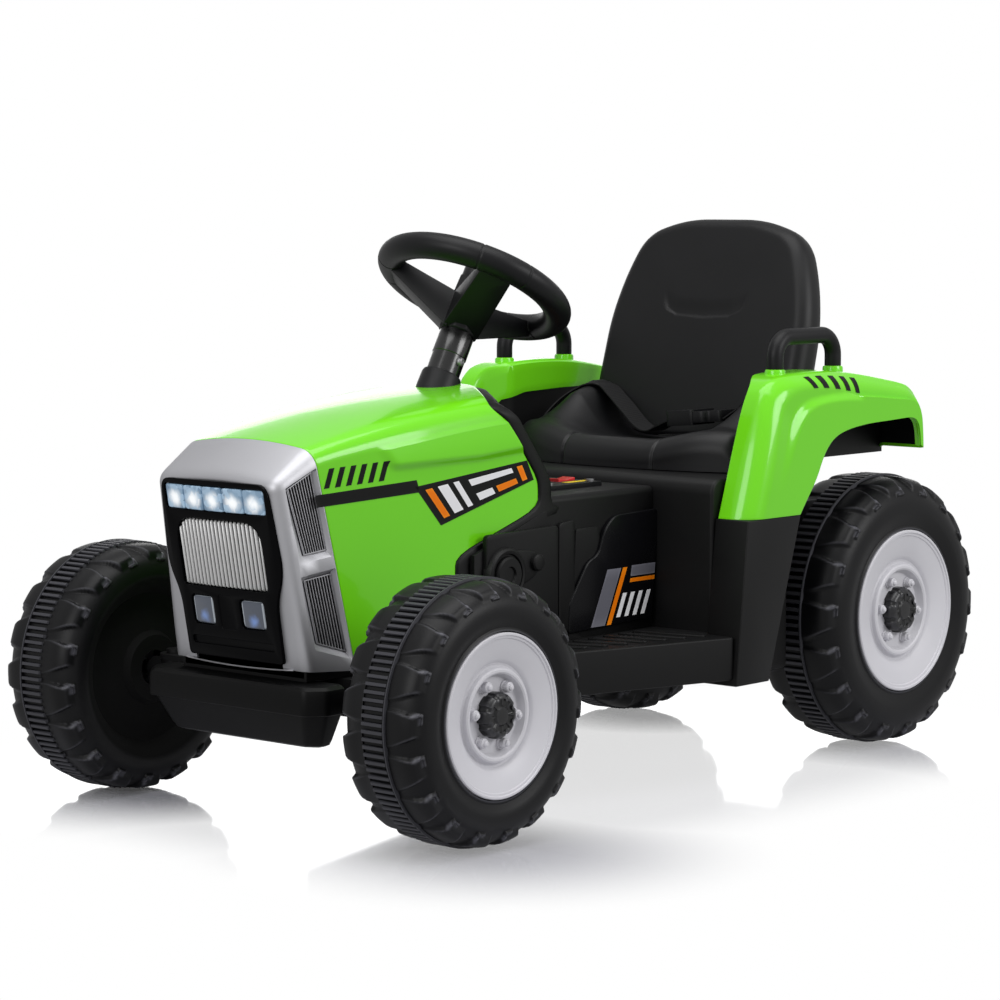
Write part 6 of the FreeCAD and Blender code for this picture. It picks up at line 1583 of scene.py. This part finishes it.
web_look = Finish("belt_webbing", specular_ior_level=0.25, roughness=0.7)
place_x, place_y, _ = web_look.axes()
weave = ribs(place_x * THREADS) + ribs(place_y * THREADS)
thread = web_look.noise(700, 2.0)
web_look.set("Base Color", web_look.mix(thread, tone(13, 13, 14), tone(24, 24, 25)))
web_look.bump(weave + thread, 0.5, 0.0004)
for name, path, nodes in (("far_belt_strap", FAR_PATH, ["belt_straps"]),
                          ("near_belt_strap", NEAR_PATH, []),
                          ("belt_tail", TAIL_PATH, [])):
    piece, length = strap(name, path)
    fit(piece, "chassis", "webbing", web_look, *nodes)

SOCKET_PLAN = rounded([(-23, -13, 4), (4, -17, 4), (4, 17, 4), (-23, 13, 4)], 4, 4)
TONGUE_PLAN = rounded([(2, -16, 3), (12, -16.5, 3), (15, -12, 2), (26, -13, 3), (26, 13, 3), (15, 12, 2),
                       (12, 16.5, 3), (2, 16, 3)], 3, 3)
BUCKLE_SPOT, BUCKLE_SCALE, BUCKLE_TIP, BUCKLE_TURN = (52, 183, 320), 1.3, math.radians(-5), math.radians(6)
socket = laid_slab("buckle_body", SOCKET_PLAN, 0, 11.5)
carve(socket, laid_slab("cutter", rounded(box_outline(-17.5, 0, 5, 20), 2, 3), -2, 14))
soft(socket, 1.6, 3)
tongue = laid_slab("buckle_tongue", TONGUE_PLAN, 1.5, 10)
carve(tongue, laid_slab("cutter", rounded(box_outline(20.5, 0, 4.5, 20), 1.5, 3), -2, 14),
      laid_slab("cutter", rounded(box_outline(9, 0, 7, 18), 1.5, 3), 7, 14))
soft(tongue, 1.0, 2)
buckle = join(socket, tongue)
on_pan = Matrix.Translation(BUCKLE_SPOT) @ Matrix.Scale(BUCKLE_SCALE, 4)
on_pan = on_pan @ Matrix.Rotation(BUCKLE_TIP, 4, "Y") @ Matrix.Rotation(BUCKLE_TURN, 4, "Z")
settle(buckle, on_pan, 35)
fit(buckle, "chassis", "black_satin", soft_black, "belt_buckle")

# Printed films: thin stripes stuck on the bonnet's sides, the engine panels and the fenders.
# They are plain bars and bands in black, white, orange and grey, a few tenths of a millimetre thick.
FILM = 0.2
BONNET_BARS, BONNET_BAR_PITCH = 6, 12.6
FENDER_BARS, FENDER_BAR_PITCH = 5, 0.36
PANEL_BARS, PANEL_BAR_PITCH = 4, 12


def film(name, corners, place, across=14, up=5):
    """A four-cornered film laid on a surface that place describes."""
    a, b, c, d = (Vector(spot) for spot in corners)

    def put(p, q):
        spot = a.lerp(b, p).lerp(d.lerp(c, p), q)
        return place(spot.x, spot.y)

    return wall(skin(name, spread(0, 1, across), spread(0, 1, up), put), FILM)


def on_bonnet(proud):
    """Places on the bonnet's left side by station and height, a little proud of it."""
    def put(station, z):
        half = smooth_between(HALF_WIDTHS, station, 30)
        return Vector((half + drawn_out(station, z, 0) + proud, station + FRONT_AXLE_Y, z))
    return put


def on_panel(station, z):
    return Vector((PANEL_FACE + 0.3, station + FRONT_AXLE_Y, z))


WEDGE = [Vector((72, 291)), Vector((214, 306)), Vector((223, 288)), Vector((104, 255))]


def in_wedge(left, right, head, foot):
    """The corners of a bar inside the bonnet's black wedge, by shares along and down it."""
    a, b, c, d = WEDGE
    shares = ((left, head), (right, head), (right, foot), (left, foot))
    return [a.lerp(b, p).lerp(d.lerp(c, p), q) for p, q in shares]


black_films = [film("black_films", [(-44, 291), (74, 297), (78, 286), (-42, 280.5)], on_bonnet(0.3), 24),
               film("wedge", WEDGE, on_bonnet(0.3), 30, 10)]
for count in range(BONNET_BARS):
    start, up = -34 + BONNET_BAR_PITCH * count, 0.5 * count
    corners = [(start + 6, 313 + up), (start + 12, 313.4 + up), (start + 6, 296.4 + up), (start, 296 + up)]
    black_films.append(film("bar", corners, on_bonnet(0.3), 4, 6))
for count in range(FENDER_BARS):
    start = 6.05 + FENDER_BAR_PITCH * count
    corners = [(2.94, start), (2.94, start + 0.16), (2.46, start + 0.28), (2.46, start + 0.12)]
    black_films.append(film("bar", corners, lambda u, v: lifted(u, v, 0.5), 8, 4))
white_films = [film("white_films", in_wedge(0.17, 0.26, 0.12, 0.88), on_bonnet(0.6), 6, 8),
               film("bar", in_wedge(0.31, 0.36, 0.12, 0.88), on_bonnet(0.6), 6, 8),
               film("bar", in_wedge(0.44, 0.84, 0.16, 0.36), on_bonnet(0.6)),
               film("bar", in_wedge(0.44, 0.60, 0.62, 0.84), on_bonnet(0.6))]
orange_films = [film("orange_films", in_wedge(0.06, 0.12, 0.12, 0.88), on_bonnet(0.6), 6, 8),
                film("bar", in_wedge(0.64, 0.84, 0.62, 0.84), on_bonnet(0.6)),
                film("bar", in_wedge(0.89, 0.94, 0.16, 0.84), on_bonnet(0.6), 4)]
grey_films = [film("grey_films", [(296, 146), (316, 146), (340, 198), (320, 198)], on_panel),
              film("strip", [(356, 199), (391, 199), (390, 189), (354, 189)], on_panel)]
orange_films += [film("line", [(319, 146), (325, 146), (349, 198), (343, 198)], on_panel),
                 film("strip", [(354, 187), (390, 187), (389.6, 183.4), (353, 183.4)], on_panel)]
for count in range(PANEL_BARS):
    start = 333 + PANEL_BAR_PITCH * count
    corners = [(start + 10, 174), (start + 15.5, 174), (start + 5.5, 152), (start, 152)]
    white_films.append(film("bar", corners, on_panel, 3, 4))
for name, films, low, high in (("black_films", black_films, tone(9, 9, 10), tone(12, 12, 13)),
                               ("white_films", white_films, tone(222, 222, 226), tone(230, 230, 233)),
                               ("orange_films", orange_films, tone(226, 112, 8), tone(234, 120, 14)),
                               ("grey_films", grey_films, tone(92, 92, 100), tone(100, 100, 108))):
    piece = both_sides(join(*films))
    piece.name = name
    settle(piece, None, 30)
    fit(piece, "chassis", None, moulded(name, low, high, 0.28, 0.18, 700, 0.04))
